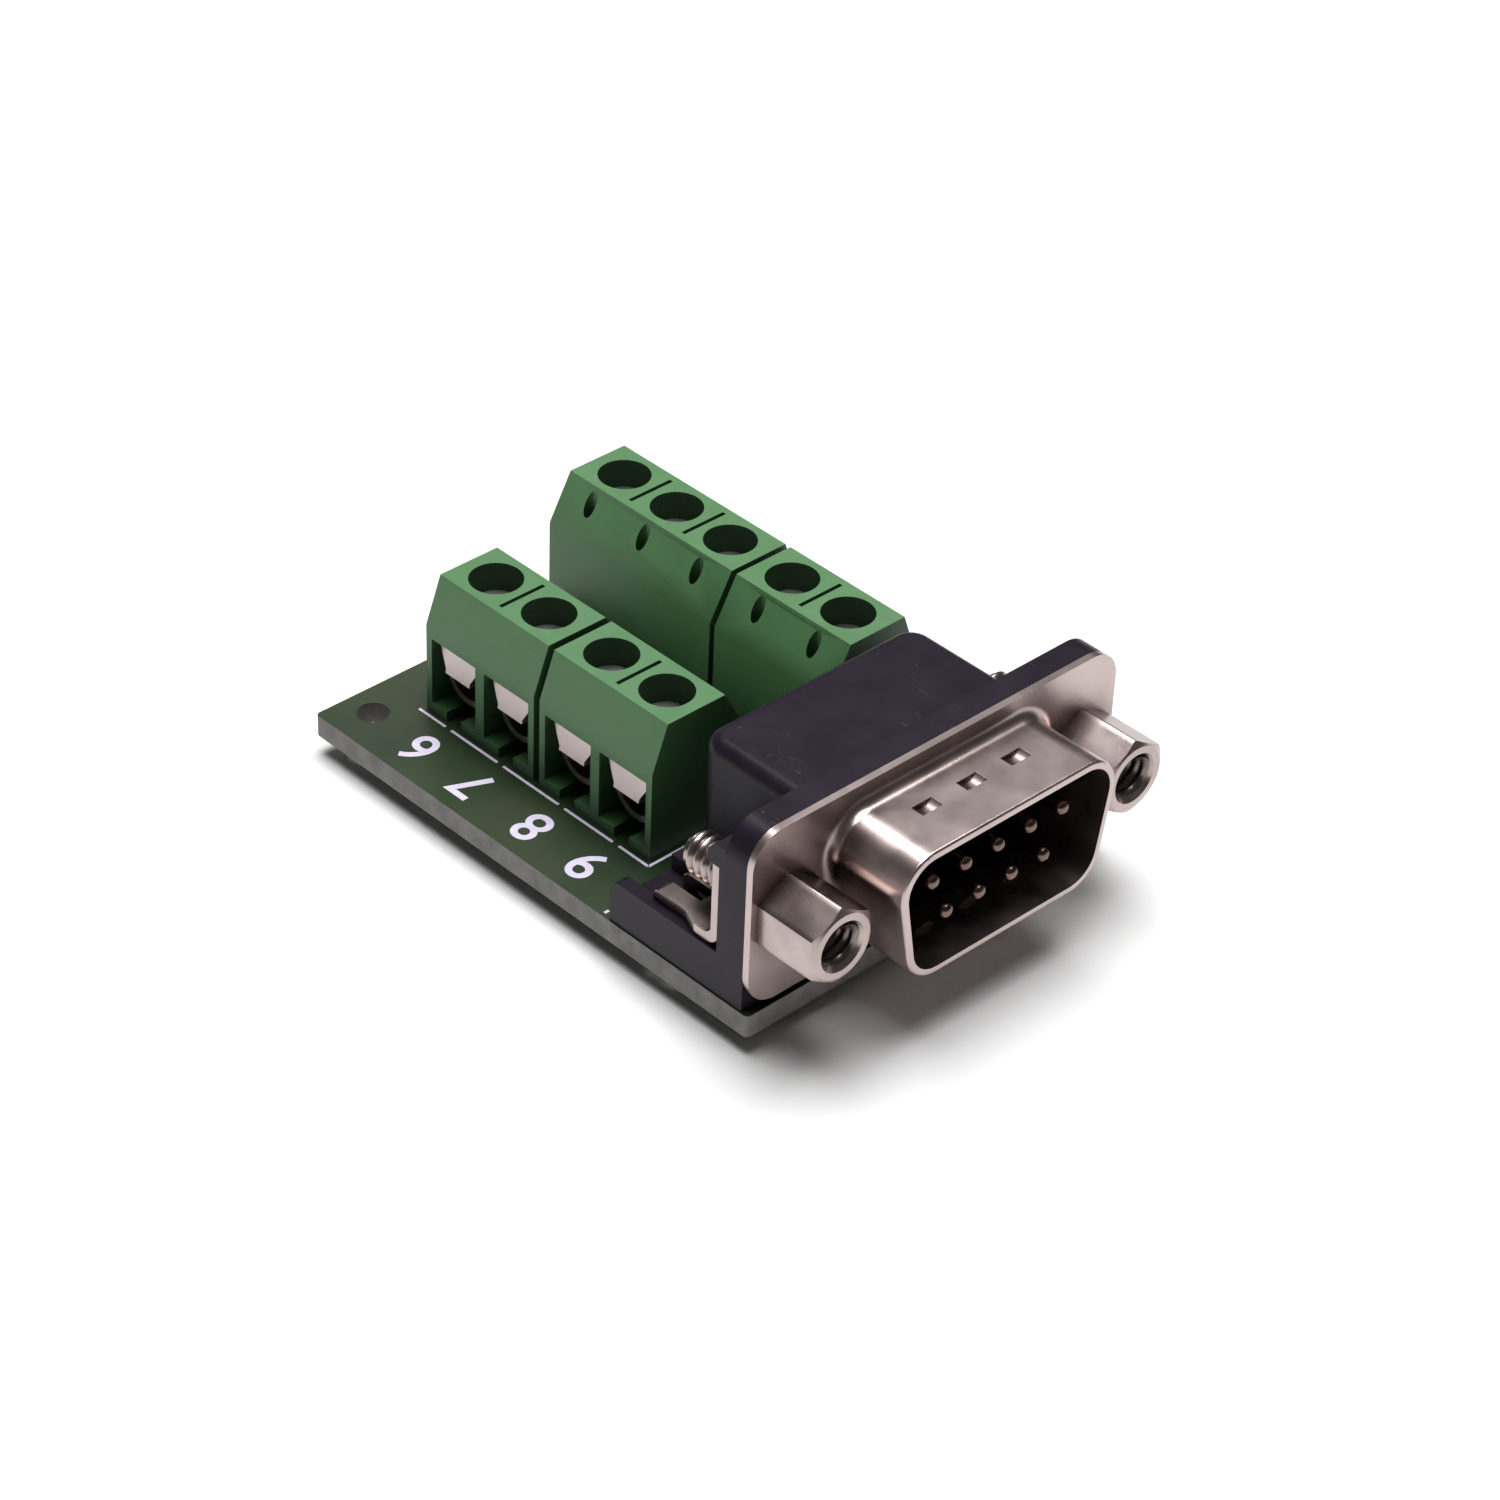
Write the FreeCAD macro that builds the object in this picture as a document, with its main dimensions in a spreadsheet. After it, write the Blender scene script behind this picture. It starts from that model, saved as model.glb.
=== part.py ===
"""Adapter board: a nine-way D-shaped plug wired to nine rising-clamp screw terminals.

The origin is on the standing plane, under the middle of the part. +Z points up, the plug's
mating face points to -Y, and the row of terminals 6 to 9 faces -X.
Lengths are millimetres.
"""
import FreeCAD, Part
import Sketcher
import math
import os
import re

os.makedirs("parts", exist_ok=True)
doc = FreeCAD.newDocument("DsubTerminalAdapter")

# %% Driving sizes

SIZES = (
    # circuit board
    ("board_overhang", 0.1, "circuit board beyond the flange, each side"),
    ("board_length", 40.4, "circuit board, front to rear"),
    ("board_thickness", 1.6, "circuit board sheet"),
    ("board_corner", 0.3, "corner radius of the board"),
    ("board_lead", 0.13, "board edge in front of the flange face"),
    ("mount_hole", 2.2, "diameter of the rear hole"),
    ("mount_side", 2.9, "rear hole, from the board's -X edge"),
    ("mount_inset", 2.25, "rear hole, from the rear edge"),
    ("tail_length", 1.4, "solder tails below the board"),
    ("tail_play", 0.12, "gap round a tail in its board hole"),
    # metal shell of the plug
    ("flange_width", 30.8, "shell flange, across"),
    ("flange_height", 12.5, "shell flange, up"),
    ("flange_corner", 2.3, "corner radius of the flange"),
    ("flange_sheet", 0.5, "flange sheet"),
    ("flange_lift", 0.335, "flange above the board"),
    ("shroud_depth", 6.04, "D shroud in front of the flange"),
    ("shroud_half_width", 9.07, "D shroud, middle to widest point"),
    ("shroud_half_height", 4.68, "D shroud, middle to top"),
    ("shroud_corner", 2.6, "outer corner radius of the D"),
    ("shroud_side_angle", 10.0, "lean of the D's sides, degrees"),
    ("shroud_wall", 0.5, "wall of the D shroud"),
    ("shroud_root", 0.8, "radius where the shroud leaves the flange"),
    ("shroud_rim", 0.2, "radius of the shroud's front rim"),
    ("dimple_pitch", 3.76, "grounding dimples, apart"),
    ("dimple_setback", 2.55, "grounding dimples, from the flange face"),
    ("dimple_length", 1.7, "dimple, across"),
    ("dimple_breadth", 1.0, "dimple, front to rear"),
    ("dimple_depth", 0.35, "depth of a dimple"),
    # insulator and contacts
    ("insulator_lead", 0.3, "insulator in front of the flange face"),
    ("insulator_fit", 0.05, "gap between insulator and shroud"),
    ("collar_growth", 0.3, "insulator collar beyond the shroud's inside"),
    ("insulator_tail", 2.2, "insulator behind the hood's front plate"),
    ("insulator_play", 0.3, "gap between the insulator's rear block and the hood"),
    ("contact_diameter", 1.02, "contact pin"),
    ("contact_fit", 0.02, "contact pin's hole, larger by"),
    ("contact_reach", 5.37, "pin tip in front of the flange face"),
    ("contact_dome", 0.46, "rounding of a pin's tip"),
    ("contact_pitch", 2.77, "pins in a row, apart"),
    ("contact_row", 1.42, "pin rows, from the middle line"),
    ("tail_diameter", 0.76, "bent tail of a contact pin"),
    ("tail_bend", 1.2, "bend radius of a contact tail"),
    ("tail_start", 0.5, "tail starts in front of the insulator's rear face"),
    ("lower_tail_row", 7.2, "lower row's tails, behind the flange face"),
    ("upper_tail_row", 9.74, "upper row's tails, behind the flange face"),
    # jackscrews
    ("jack_half_span", 12.495, "jackscrew axis, from the middle plane"),
    ("jack_flats", 4.76, "hexagon of the jackscrew, across flats"),
    ("jack_head", 4.7, "hexagon in front of the flange face"),
    ("jack_face", 4.47, "round face at the hexagon's bevelled end"),
    ("jack_thread", 2.84, "threaded rod of the jackscrew"),
    ("jack_bore", 2.3, "tapped bore in the hexagon"),
    ("jack_bore_depth", 6.0, "depth of the tapped bore"),
    ("jack_sink", 0.6, "countersink of the tapped bore"),
    ("jack_reach", 8.0, "rod end behind the flange face"),
    ("jack_rod_chamfer", 0.4, "chamfer at the rod's end"),
    ("jack_hole", 3.2, "clearance hole for the rod"),
    ("jack_thread_fit", 0.06, "board lock's hole, larger than the rod by"),
    # black rear housing of the plug
    ("hood_plate", 1.8, "front plate, behind the flange"),
    ("hood_boss", 0.5, "side pads behind the front plate"),
    ("hood_boss_top", 11.0, "top of the side pads above the board"),
    ("hood_hump", 1.0, "hump over the board lock, behind the side pad"),
    ("hood_hump_bevel", 0.6, "bevel of the hump"),
    ("hood_half_width", 9.1, "hood body, middle to side"),
    ("hood_height", 11.4, "top of the hood body above the board"),
    ("hood_depth", 11.56, "rear of the hood behind the flange face"),
    ("hood_corner", 1.7, "radius of the hood's upright corners"),
    ("hood_top_round", 1.0, "radius of the hood's upper edges"),
    ("hood_wall", 0.9, "wall of the hood"),
    ("step_half_width", 10.9, "low step beside the hood, from the middle"),
    ("step_height", 3.1, "low step above the board"),
    ("ledge_height", 2.0, "ledge between step and rail"),
    ("rail_width", 1.0, "side rail, across"),
    ("rail_height", 3.15, "side rail above the board"),
    ("rail_length", 12.1, "rail's rear end behind the flange face"),
    ("rail_corner", 0.8, "rounded top of the rail's rear end"),
    # board locks
    ("lock_sheet", 0.8, "board lock sheet"),
    ("lock_inner", 10.3, "board lock, inner edge from the middle"),
    ("lock_outer", 15.2, "board lock, outer edge from the middle"),
    ("lock_top", 9.45, "board lock's top above the board"),
    ("lock_bend", 0.5, "inner bend radius of the board lock"),
    ("lock_lobe", 6.3, "wide part of the foot ends behind the flange face"),
    ("lock_lobe_corner", 1.3, "slanted shoulder of the wide part"),
    ("lock_lobe_round", 0.65, "rounding of that shoulder"),
    ("lock_outer_prong", 1.3, "outer prong, across"),
    ("lock_outer_inset", 0.5, "outer prong, from the outer edge"),
    ("lock_slot", 1.15, "slot between the prongs"),
    ("lock_inner_prong", 0.6, "inner prong, across"),
    ("lock_reach", 9.1, "prongs end behind the flange face"),
    ("lock_leg_width", 0.6, "leg through the board, across"),
    ("lock_leg_reach", 0.7, "leg below the board"),
    ("lock_play_side", 0.2, "hood's slot beside the prongs"),
    ("lock_play_rear", 0.3, "hood's slot behind the prongs"),
    ("lock_hole", 3.4, "board hole round the two legs"),
    # terminal blocks
    ("pole_pitch", 5.08, "terminals, apart"),
    ("block_end", 0.115, "block beyond its last half pitch"),
    ("near_row_inset", 5.85, "wire face of terminals 6 to 9, from the board edge"),
    ("near_row_end", 36.13, "rear end of that row behind the flange face"),
    ("near_row_gap", 0.55, "gap between that row's blocks"),
    ("far_row_inset", 3.66, "wire face of terminals 1 to 5, from the board edge"),
    ("far_row_end", 39.89, "rear end of that row behind the flange face"),
    ("far_row_gap", 0.45, "gap between that row's blocks"),
    ("block_depth", 7.75, "block, wire face to back"),
    ("block_height", 9.85, "block above the board"),
    ("block_shoulder", 6.55, "foot of the sloping faces"),
    ("block_front_slope", 1.21, "front slope, across"),
    ("block_back_slope", 1.8, "back slope, across"),
    ("opening_bottom", 0.7, "wire opening, sill above the board"),
    ("opening_top", 5.7, "wire opening, lip above the board"),
    ("opening_width", 4.26, "wire opening, across"),
    ("sill_notch", 1.38, "slot in the floor under the clamp"),
    ("lip_low", 0.22, "lip thickness at the wire opening"),
    ("lip_high", 0.56, "lip slot's front at its top"),
    ("lip_slot_top", 7.72, "top of the slot behind the lip"),
    ("lip_slot_back", 1.28, "back of the slot behind the lip"),
    ("well_diameter", 3.57, "screw well"),
    ("well_inset", 3.58, "screw axis, from the wire face"),
    ("groove_width", 0.3, "groove between terminals"),
    ("groove_depth", 0.5, "depth of that groove"),
    ("groove_front", 1.73, "groove starts behind the wire face"),
    ("groove_back", 5.38, "groove ends behind the wire face"),
    ("probe_hole", 0.9, "test hole in the back slope"),
    ("probe_inset", 6.55, "test hole, from the wire face"),
    ("probe_floor", 6.9, "floor of the test hole above the board"),
    # clamp cages
    ("cage_front", 1.2, "clamp cage, from the wire face"),
    ("cage_length", 4.5, "clamp cage, front to back"),
    ("cage_width", 4.0, "clamp cage, across"),
    ("cage_sheet", 0.45, "clamp cage sheet"),
    ("cage_bottom", 1.15, "clamp cage above the board"),
    ("cage_plate", 0.6, "threaded top plate"),
    ("cage_top", 6.35, "top of the cage above the board"),
    ("cage_play", 0.1, "gap over and behind the cage"),
    ("cage_pin", 1.0, "solder pin of the cage"),
    # pressing leaves
    ("leaf_bottom", 3.4, "pressing leaf above the board"),
    ("leaf_sheet", 0.3, "pressing leaf"),
    ("leaf_front_low", 0.3, "guard tab's foot, from the wire face"),
    ("leaf_front_high", 0.67, "guard tab's top, from the wire face"),
    ("tab_sheet", 0.38, "guard tab"),
    ("tab_half_low", 1.18, "guard tab's foot, half width"),
    ("tab_half_high", 1.95, "guard tab's top, half width"),
    ("tab_shoulder", 5.1, "guard tab is full width above this"),
    ("leaf_back", 5.0, "pressing leaf ends behind the wire face"),
    # terminal screws
    ("screw_head", 3.3, "screw head"),
    ("screw_head_height", 1.0, "height of the screw head"),
    ("screw_depth", 1.9, "screw head below the block's top"),
    ("screw_shank", 2.5, "screw shank"),
    ("screw_fit", 0.1, "cage thread, larger than the shank by"),
    ("screw_slot", 0.6, "driver slot, across"),
    ("screw_slot_depth", 0.55, "driver slot, deep"),
    ("screw_tip_gap", 0.02, "screw tip above the pressing leaf"),
    ("screw_tip_chamfer", 0.3, "chamfer of the screw tip"),
    ("screw_head_chamfer", 0.15, "chamfer of the screw head"),
    # solder
    ("solder_radius", 0.9, "solder cone at the board"),
    ("solder_height", 0.8, "height of a solder cone"),
)

sheet = doc.addObject("Spreadsheet::Sheet", "Sizes")
for row, (alias, size, meaning) in enumerate(SIZES, start=1):
    sheet.set(f"A{row}", meaning)
    sheet.set(f"B{row}", str(size))
    sheet.setAlias(f"B{row}", alias)
doc.recompute()

ALIASES = re.compile(r"\b(" + "|".join(alias for alias, size, meaning in SIZES) + r")\b")
NEAR = 1e-3
THROUGH = "60"
# How far a cut starts outside the material, and how far it runs on into a hollow.
CLEAR = "1"
RUN_ON = "0.1"


def cells(formula):
    """The formula with each size's name pointing at its cell."""
    return ALIASES.sub(r"Sizes.\1", formula)


def value(formula):
    """The number that a formula gives with the present sizes."""
    return float(sheet.evalExpression(cells(formula)))


# %% Places shared by several pieces

BOARD_TOP = "(tail_length + board_thickness)"
BOARD_HALF = "(flange_width / 2 + board_overhang)"
FACE_Y = "((shroud_depth - board_length + board_lead) / 2)"
PLUG_Z = f"({BOARD_TOP} + flange_lift + flange_height / 2)"
PLUG_LIFT = "(flange_lift + flange_height / 2)"
NEAR_FACE_X = f"(near_row_inset - {BOARD_HALF})"
FAR_FACE_X = f"({BOARD_HALF} - far_row_inset)"
PLATE_BACK = "(flange_sheet + hood_plate)"
BOSS_BACK = f"({PLATE_BACK} + hood_boss)"
LOCK_PRONG_OUTER = "(lock_outer - lock_outer_inset)"
LOCK_SLOT_OUTER = f"({LOCK_PRONG_OUTER} - lock_outer_prong)"
LOCK_SLOT_INNER = f"({LOCK_SLOT_OUTER} - lock_slot)"
LOCK_PRONG_INNER = f"({LOCK_SLOT_INNER} - lock_inner_prong)"
LOCK_HOLE_X = f"(({LOCK_SLOT_OUTER} + {LOCK_SLOT_INNER}) / 2)"
LOCK_LEG_Y = "(lock_reach - lock_sheet / 2)"
SIDES = (-1, 1)


class Block:
    """A row of terminals in one moulded housing."""

    def __init__(self, poles, face_x, rear_end, turn):
        self.poles = poles
        self.face_x = face_x
        self.turn = turn
        self.length = f"({len(poles)} * pole_pitch + 2 * block_end)"
        self.front_end = f"({rear_end} - {self.length})"
        self.middle = f"({rear_end} - {self.length} / 2)"
        self.name = f"terminal_housing_{poles[0]}_{poles[-1]}"

    def offset(self, pole):
        """A pole's place along the block, from the block's middle."""
        steps = (len(self.poles) - 1) / 2 - self.poles.index(pole)
        return f"({steps} * pole_pitch)"

    def pole_y(self, pole):
        return f"({FACE_Y} + {self.middle} + {self.offset(pole)})"

    def inward(self, distance):
        """The X of a point that lies some way in from the wire face."""
        if self.turn:
            return f"({self.face_x} - {distance})"
        return f"({self.face_x} + {distance})"


FAR_REAR = Block((1, 2, 3), FAR_FACE_X, "far_row_end", 180)
FAR_FRONT = Block((4, 5), FAR_FACE_X, f"({FAR_REAR.front_end} - far_row_gap)", 180)
NEAR_REAR = Block((6, 7), NEAR_FACE_X, "near_row_end", 0)
NEAR_FRONT = Block((8, 9), NEAR_FACE_X, f"({NEAR_REAR.front_end} - near_row_gap)", 0)
BLOCKS = (FAR_REAR, FAR_FRONT, NEAR_REAR, NEAR_FRONT)

# Contacts 1 to 5 are the upper row, 6 to 9 the lower one.
UPPER_CONTACTS = (1, 2, 3, 4, 5)
LOWER_CONTACTS = (6, 7, 8, 9)


def contact_place(number):
    """A contact's x, height from the plug's middle line, and tail row."""
    row = UPPER_CONTACTS if number in UPPER_CONTACTS else LOWER_CONTACTS
    steps = row.index(number) - (len(row) - 1) / 2
    if row is UPPER_CONTACTS:
        return f"({steps} * contact_pitch)", "contact_row", "upper_tail_row"
    return f"({steps} * contact_pitch)", "(-1 * contact_row)", "lower_tail_row"


# %% Drawing helpers

def new_body(label, x="0", y="0", z="0", turn=0):
    """A body whose own origin stands at x, y, z, turned about the upright."""
    body = doc.addObject("PartDesign::Body", label)
    body.Label = label
    body.Placement.Rotation = FreeCAD.Rotation(FreeCAD.Vector(0, 0, 1), turn)
    for axis, formula in (("x", x), ("y", y), ("z", z)):
        body.setExpression(f"Placement.Base.{axis}", cells(formula))
    return body


def new_sketch(body, name, plane, height):
    """An empty sketch on a plane of the body, raised along the plane's normal."""
    sketch = body.newObject("Sketcher::SketchObject", name)
    base = next(item for item in body.Origin.OriginFeatures if item.Role == f"{plane}_Plane")
    sketch.AttachmentSupport = [(base, "")]
    sketch.MapMode = "FlatFace"
    sketch.setExpression("AttachmentOffset.Base.z", cells(height))
    return sketch


def hold(sketch, kind, item, point, formula, label):
    """Tie one coordinate of a sketch point to a formula."""
    index = sketch.addConstraint(Sketcher.Constraint(kind, -1, 1, item, point, value(formula)))
    sketch.renameConstraint(index, label)
    sketch.setExpression(f"Constraints.{label}", cells(formula))


def polygon(body, name, plane, corners, height="0"):
    """A closed outline of straight lines, each corner a pair of formulas."""
    sketch = new_sketch(body, name, plane, height)
    points = [FreeCAD.Vector(value(across), value(up), 0) for across, up in corners]
    count = len(points)
    for index in range(count):
        sketch.addGeometry(Part.LineSegment(points[index], points[(index + 1) % count]))
    for index, (across, up) in enumerate(corners):
        sketch.addConstraint(Sketcher.Constraint("Coincident", index, 2, (index + 1) % count, 1))
        hold(sketch, "DistanceX", index, 1, across, f"across_{index}")
        hold(sketch, "DistanceY", index, 1, up, f"up_{index}")
    return sketch


def rectangle(body, name, plane, left, right, low, high, height="0"):
    return polygon(body, name, plane, ((left, low), (right, low), (right, high), (left, high)), height)


def circles(body, name, plane, centres, diameter, height="0"):
    """Equal circles round the given centres."""
    sketch = new_sketch(body, name, plane, height)
    radius = f"({diameter}) / 2"
    for index, (across, up) in enumerate(centres):
        centre = FreeCAD.Vector(value(across), value(up), 0)
        sketch.addGeometry(Part.Circle(centre, FreeCAD.Vector(0, 0, 1), value(radius)))
        hold(sketch, "DistanceX", index, 3, across, f"across_{index}")
        hold(sketch, "DistanceY", index, 3, up, f"up_{index}")
        round_size = sketch.addConstraint(Sketcher.Constraint("Radius", index, value(radius)))
        sketch.renameConstraint(round_size, f"radius_{index}")
        sketch.setExpression(f"Constraints.radius_{index}", cells(radius))
    return sketch


def extrude(body, kind, sketch, length, reverse, both):
    feature = body.newObject(f"PartDesign::{kind}", f"{sketch.Name}_{kind}")
    feature.Profile = sketch
    feature.setExpression("Length", cells(length))
    feature.Reversed = reverse
    feature.SideType = "Symmetric" if both else "One side"
    doc.recompute()
    if "Up-to-date" not in feature.State:
        raise RuntimeError(f"{feature.Name} did not build")
    return feature


def pad(body, sketch, length, reverse=False, both=False):
    """Raise the outline along its plane's normal, or against it."""
    return extrude(body, "Pad", sketch, length, reverse, both)


def pocket(body, sketch, length, reverse=False, both=False):
    """Cut the outline against its plane's normal, or along it."""
    before = body.Shape.Volume
    feature = extrude(body, "Pocket", sketch, length, reverse, both)
    if body.Shape.Volume > before - NEAR:
        raise RuntimeError(f"{feature.Name} cuts nothing")
    return feature


def dress(body, kind, size_name, size, test):
    """Round or chamfer the edges that pass the test."""
    base = body.Tip
    names = [f"Edge{n}" for n, edge in enumerate(base.Shape.Edges, start=1) if test(edge)]
    if not names:
        raise RuntimeError(f"{body.Label} has no edge for its {kind}")
    feature = body.newObject(f"PartDesign::{kind}", f"{body.Name}_{kind}")
    feature.Base = (base, names)
    feature.setExpression(size_name, cells(size))
    doc.recompute()
    if "Up-to-date" not in feature.State:
        raise RuntimeError(f"{feature.Name} did not build")
    return feature


def round_edges(body, radius, test):
    return dress(body, "Fillet", "Radius", radius, test)


def chamfer_edges(body, size, test):
    return dress(body, "Chamfer", "Size", size, test)


def straight(axis, **at):
    """Test for straight edges along an axis, with their middles at the given places.

    An x counts on both sides of the middle plane.
    """
    wanted = {name: value(formula) for name, formula in at.items()}

    def test(edge):
        if not isinstance(edge.Curve, Part.Line):
            return False
        if abs(getattr(edge.tangentAt(edge.FirstParameter), axis)) < 1 - NEAR:
            return False
        for name, target in wanted.items():
            found = getattr(edge.CenterOfMass, name)
            if name == "x":
                found, target = abs(found), abs(target)
            if abs(found - target) > NEAR:
                return False
        return True
    return test


def rim(axis, place, radius):
    """Test for round edges of one radius, square to an axis at one place."""
    level, size = value(place), value(radius)

    def test(edge):
        if not isinstance(edge.Curve, Part.Circle):
            return False
        on_level = abs(getattr(edge.Curve.Center, axis) - level) < NEAR
        return on_level and abs(edge.Curve.Radius - size) < NEAR
    return test


def d_outline(body, name, growth, height, centre_z):
    """A D outline grown outwards by some amount: four corner arcs joined by tangent lines."""
    sketch = new_sketch(body, name, "XZ", height)
    arc_z = "(shroud_half_height - shroud_corner)"
    upper_x = "(shroud_half_width - shroud_corner)"
    lower_x = f"({upper_x} - 2 * {arc_z} * tan(shroud_side_angle * 1 deg))"
    radius = f"(shroud_corner + {growth})"
    lean = math.radians(value("shroud_side_angle"))
    quarter = math.pi / 2
    corners = (
        (upper_x, f"{centre_z} + {arc_z}", -lean, quarter),
        (f"-1 * {upper_x}", f"{centre_z} + {arc_z}", quarter, 2 * quarter + lean),
        (f"-1 * {lower_x}", f"{centre_z} - {arc_z}", 2 * quarter + lean, 3 * quarter),
        (lower_x, f"{centre_z} - {arc_z}", 3 * quarter, 4 * quarter - lean),
    )
    arcs = []
    for across, up, first, last in corners:
        centre = FreeCAD.Vector(value(across), value(up), 0)
        round_part = Part.Circle(centre, FreeCAD.Vector(0, 0, 1), value(radius))
        arcs.append(Part.ArcOfCircle(round_part, first, last))
    for arc in arcs:
        sketch.addGeometry(arc)
    count = len(arcs)
    for index, arc in enumerate(arcs):
        sketch.addGeometry(Part.LineSegment(arc.EndPoint, arcs[(index + 1) % count].StartPoint))
    for index, (across, up, first, last) in enumerate(corners):
        hold(sketch, "DistanceX", index, 3, across, f"across_{index}")
        hold(sketch, "DistanceY", index, 3, up, f"up_{index}")
        bend = sketch.addConstraint(Sketcher.Constraint("Radius", index, value(radius)))
        sketch.renameConstraint(bend, f"radius_{index}")
        sketch.setExpression(f"Constraints.radius_{index}", cells(radius))
        line, following = count + index, (index + 1) % count
        sketch.addConstraint(Sketcher.Constraint("Tangent", index, 2, line, 1))
        sketch.addConstraint(Sketcher.Constraint("Tangent", line, 2, following, 1))
    return sketch


def d_shape(body, name, growth, start, end, centre_z="0", cut=False):
    """Add or cut a D-shaped prism between two depths."""
    sketch = d_outline(body, name, growth, f"-1 * ({start})", centre_z)
    length = f"({end}) - ({start})"
    if cut:
        pocket(body, sketch, length)
    else:
        pad(body, sketch, length, reverse=True)


# %% Circuit board

def solder_tails():
    """The x, y and diameter of each tail that passes through the board."""
    tails = []
    for number in UPPER_CONTACTS + LOWER_CONTACTS:
        x, level, row = contact_place(number)
        tails.append((x, f"({FACE_Y} + {row})", "tail_diameter"))
    for block in BLOCKS:
        for pole in block.poles:
            tails.append((block.inward("well_inset"), block.pole_y(pole), "cage_pin"))
    return tails


def circuit_board():
    board_front = f"({FACE_Y} - board_lead)"
    body = new_body("circuit_board", z="tail_length")
    outline = rectangle(body, "board_outline", "XY", f"-1 * {BOARD_HALF}", BOARD_HALF,
                        board_front, f"{board_front} + board_length")
    pad(body, outline, "board_thickness")
    round_edges(body, "board_corner", straight("z", x=BOARD_HALF))
    rear = f"({board_front} + board_length - mount_inset)"
    mount = circles(body, "rear_hole", "XY", ((f"mount_side - {BOARD_HALF}", rear),), "mount_hole")
    pocket(body, mount, THROUGH, both=True)
    locks = [(f"{side} * {LOCK_HOLE_X}", f"{FACE_Y} + {LOCK_LEG_Y}") for side in SIDES]
    pocket(body, circles(body, "lock_holes", "XY", locks, "lock_hole"), THROUGH, both=True)
    for diameter in ("tail_diameter", "cage_pin"):
        places = [(x, y) for x, y, size in solder_tails() if size == diameter]
        holes = circles(body, f"{diameter}_holes", "XY", places, f"{diameter} + 2 * tail_play")
        pocket(body, holes, THROUGH, both=True)
    return body


def solder_joints():
    """The cones of solder under the board, one group."""
    low = value("tail_length - solder_height")
    height = value("solder_height")
    cones = []
    for x, y, diameter in solder_tails():
        tail_radius = value(diameter) / 2
        foot = FreeCAD.Vector(value(x), value(y), low)
        cone = Part.makeCone(tail_radius + value("tail_play"), value("solder_radius"), height, foot)
        tail = Part.makeCylinder(tail_radius, height, foot)
        cones.append(cone.cut(tail))
    joints = doc.addObject("Part::Feature", "solder_joints")
    joints.Shape = Part.makeCompound(cones)
    return joints


# %% Plug: metal shell

def dimples(body, make, level, name):
    """Curved dents in a row along the D's top and bottom walls, added inside or cut outside."""
    half = "(dimple_length / 2)"
    radius = f"(({half} ^ 2 + dimple_depth ^ 2) / (2 * dimple_depth))"
    sketch = new_sketch(body, name, "XZ", "dimple_setback")
    places = [(step, side) for side in SIDES for step in (-1, 0, 1)]
    for number, (step, side) in enumerate(places):
        left, right = f"{step} * dimple_pitch - {half}", f"{step} * dimple_pitch + {half}"
        chord_z, crown_z = f"{side} * ({level})", f"{side} * ({level} - dimple_depth)"
        start = FreeCAD.Vector(value(left), value(chord_z), 0)
        crown = FreeCAD.Vector(value(f"{step} * dimple_pitch"), value(crown_z), 0)
        end = FreeCAD.Vector(value(right), value(chord_z), 0)
        chord, arc = 2 * number, 2 * number + 1
        sketch.addGeometry(Part.LineSegment(start, end))
        sketch.addGeometry(Part.Arc(start, crown, end))
        first, last = (1, 2) if side < 0 else (2, 1)
        sketch.addConstraint(Sketcher.Constraint("Coincident", chord, 1, arc, last))
        sketch.addConstraint(Sketcher.Constraint("Coincident", chord, 2, arc, first))
        hold(sketch, "DistanceX", chord, 1, left, f"left_{number}")
        hold(sketch, "DistanceY", chord, 1, chord_z, f"left_level_{number}")
        hold(sketch, "DistanceX", chord, 2, right, f"right_{number}")
        hold(sketch, "DistanceY", chord, 2, chord_z, f"right_level_{number}")
        bend = sketch.addConstraint(Sketcher.Constraint("Radius", arc, value(radius)))
        sketch.renameConstraint(bend, f"radius_{number}")
        sketch.setExpression(f"Constraints.radius_{number}", cells(radius))
    make(body, sketch, "dimple_breadth", both=True)


def dsub_shell():
    body = new_body("dsub_shell", y=FACE_Y, z=PLUG_Z)
    d_shape(body, "shroud_outside", "0", "-1 * shroud_depth", "flange_sheet")
    flange = rectangle(body, "flange_outline", "XZ", "-1 * flange_width / 2", "flange_width / 2",
                       "-1 * flange_height / 2", "flange_height / 2")
    pad(body, flange, "flange_sheet", reverse=True)
    round_edges(body, "flange_corner", straight("y", x="flange_width / 2"))
    reach = value("shroud_half_width") + NEAR

    def at_root(edge):
        box = edge.BoundBox
        flat = abs(box.YMin) < NEAR and abs(box.YMax) < NEAR
        return flat and max(abs(box.XMin), abs(box.XMax)) < reach
    round_edges(body, "shroud_root", at_root)
    rim_y = value("-1 * shroud_depth")
    round_edges(body, "shroud_rim", lambda edge: abs(edge.BoundBox.YMax - rim_y) < NEAR)
    d_shape(body, "shroud_inside", "-1 * shroud_wall", "-1 * shroud_depth", "flange_sheet", cut=True)
    dimples(body, pad, "shroud_half_height - shroud_wall", "contact_bumps")
    dimples(body, pocket, "shroud_half_height", "dents")
    places = (("jack_half_span", "0"), ("-1 * jack_half_span", "0"))
    pocket(body, circles(body, "jack_holes", "XZ", places, "jack_hole"), THROUGH, both=True)
    return body


# %% Plug: insulator and contacts

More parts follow.
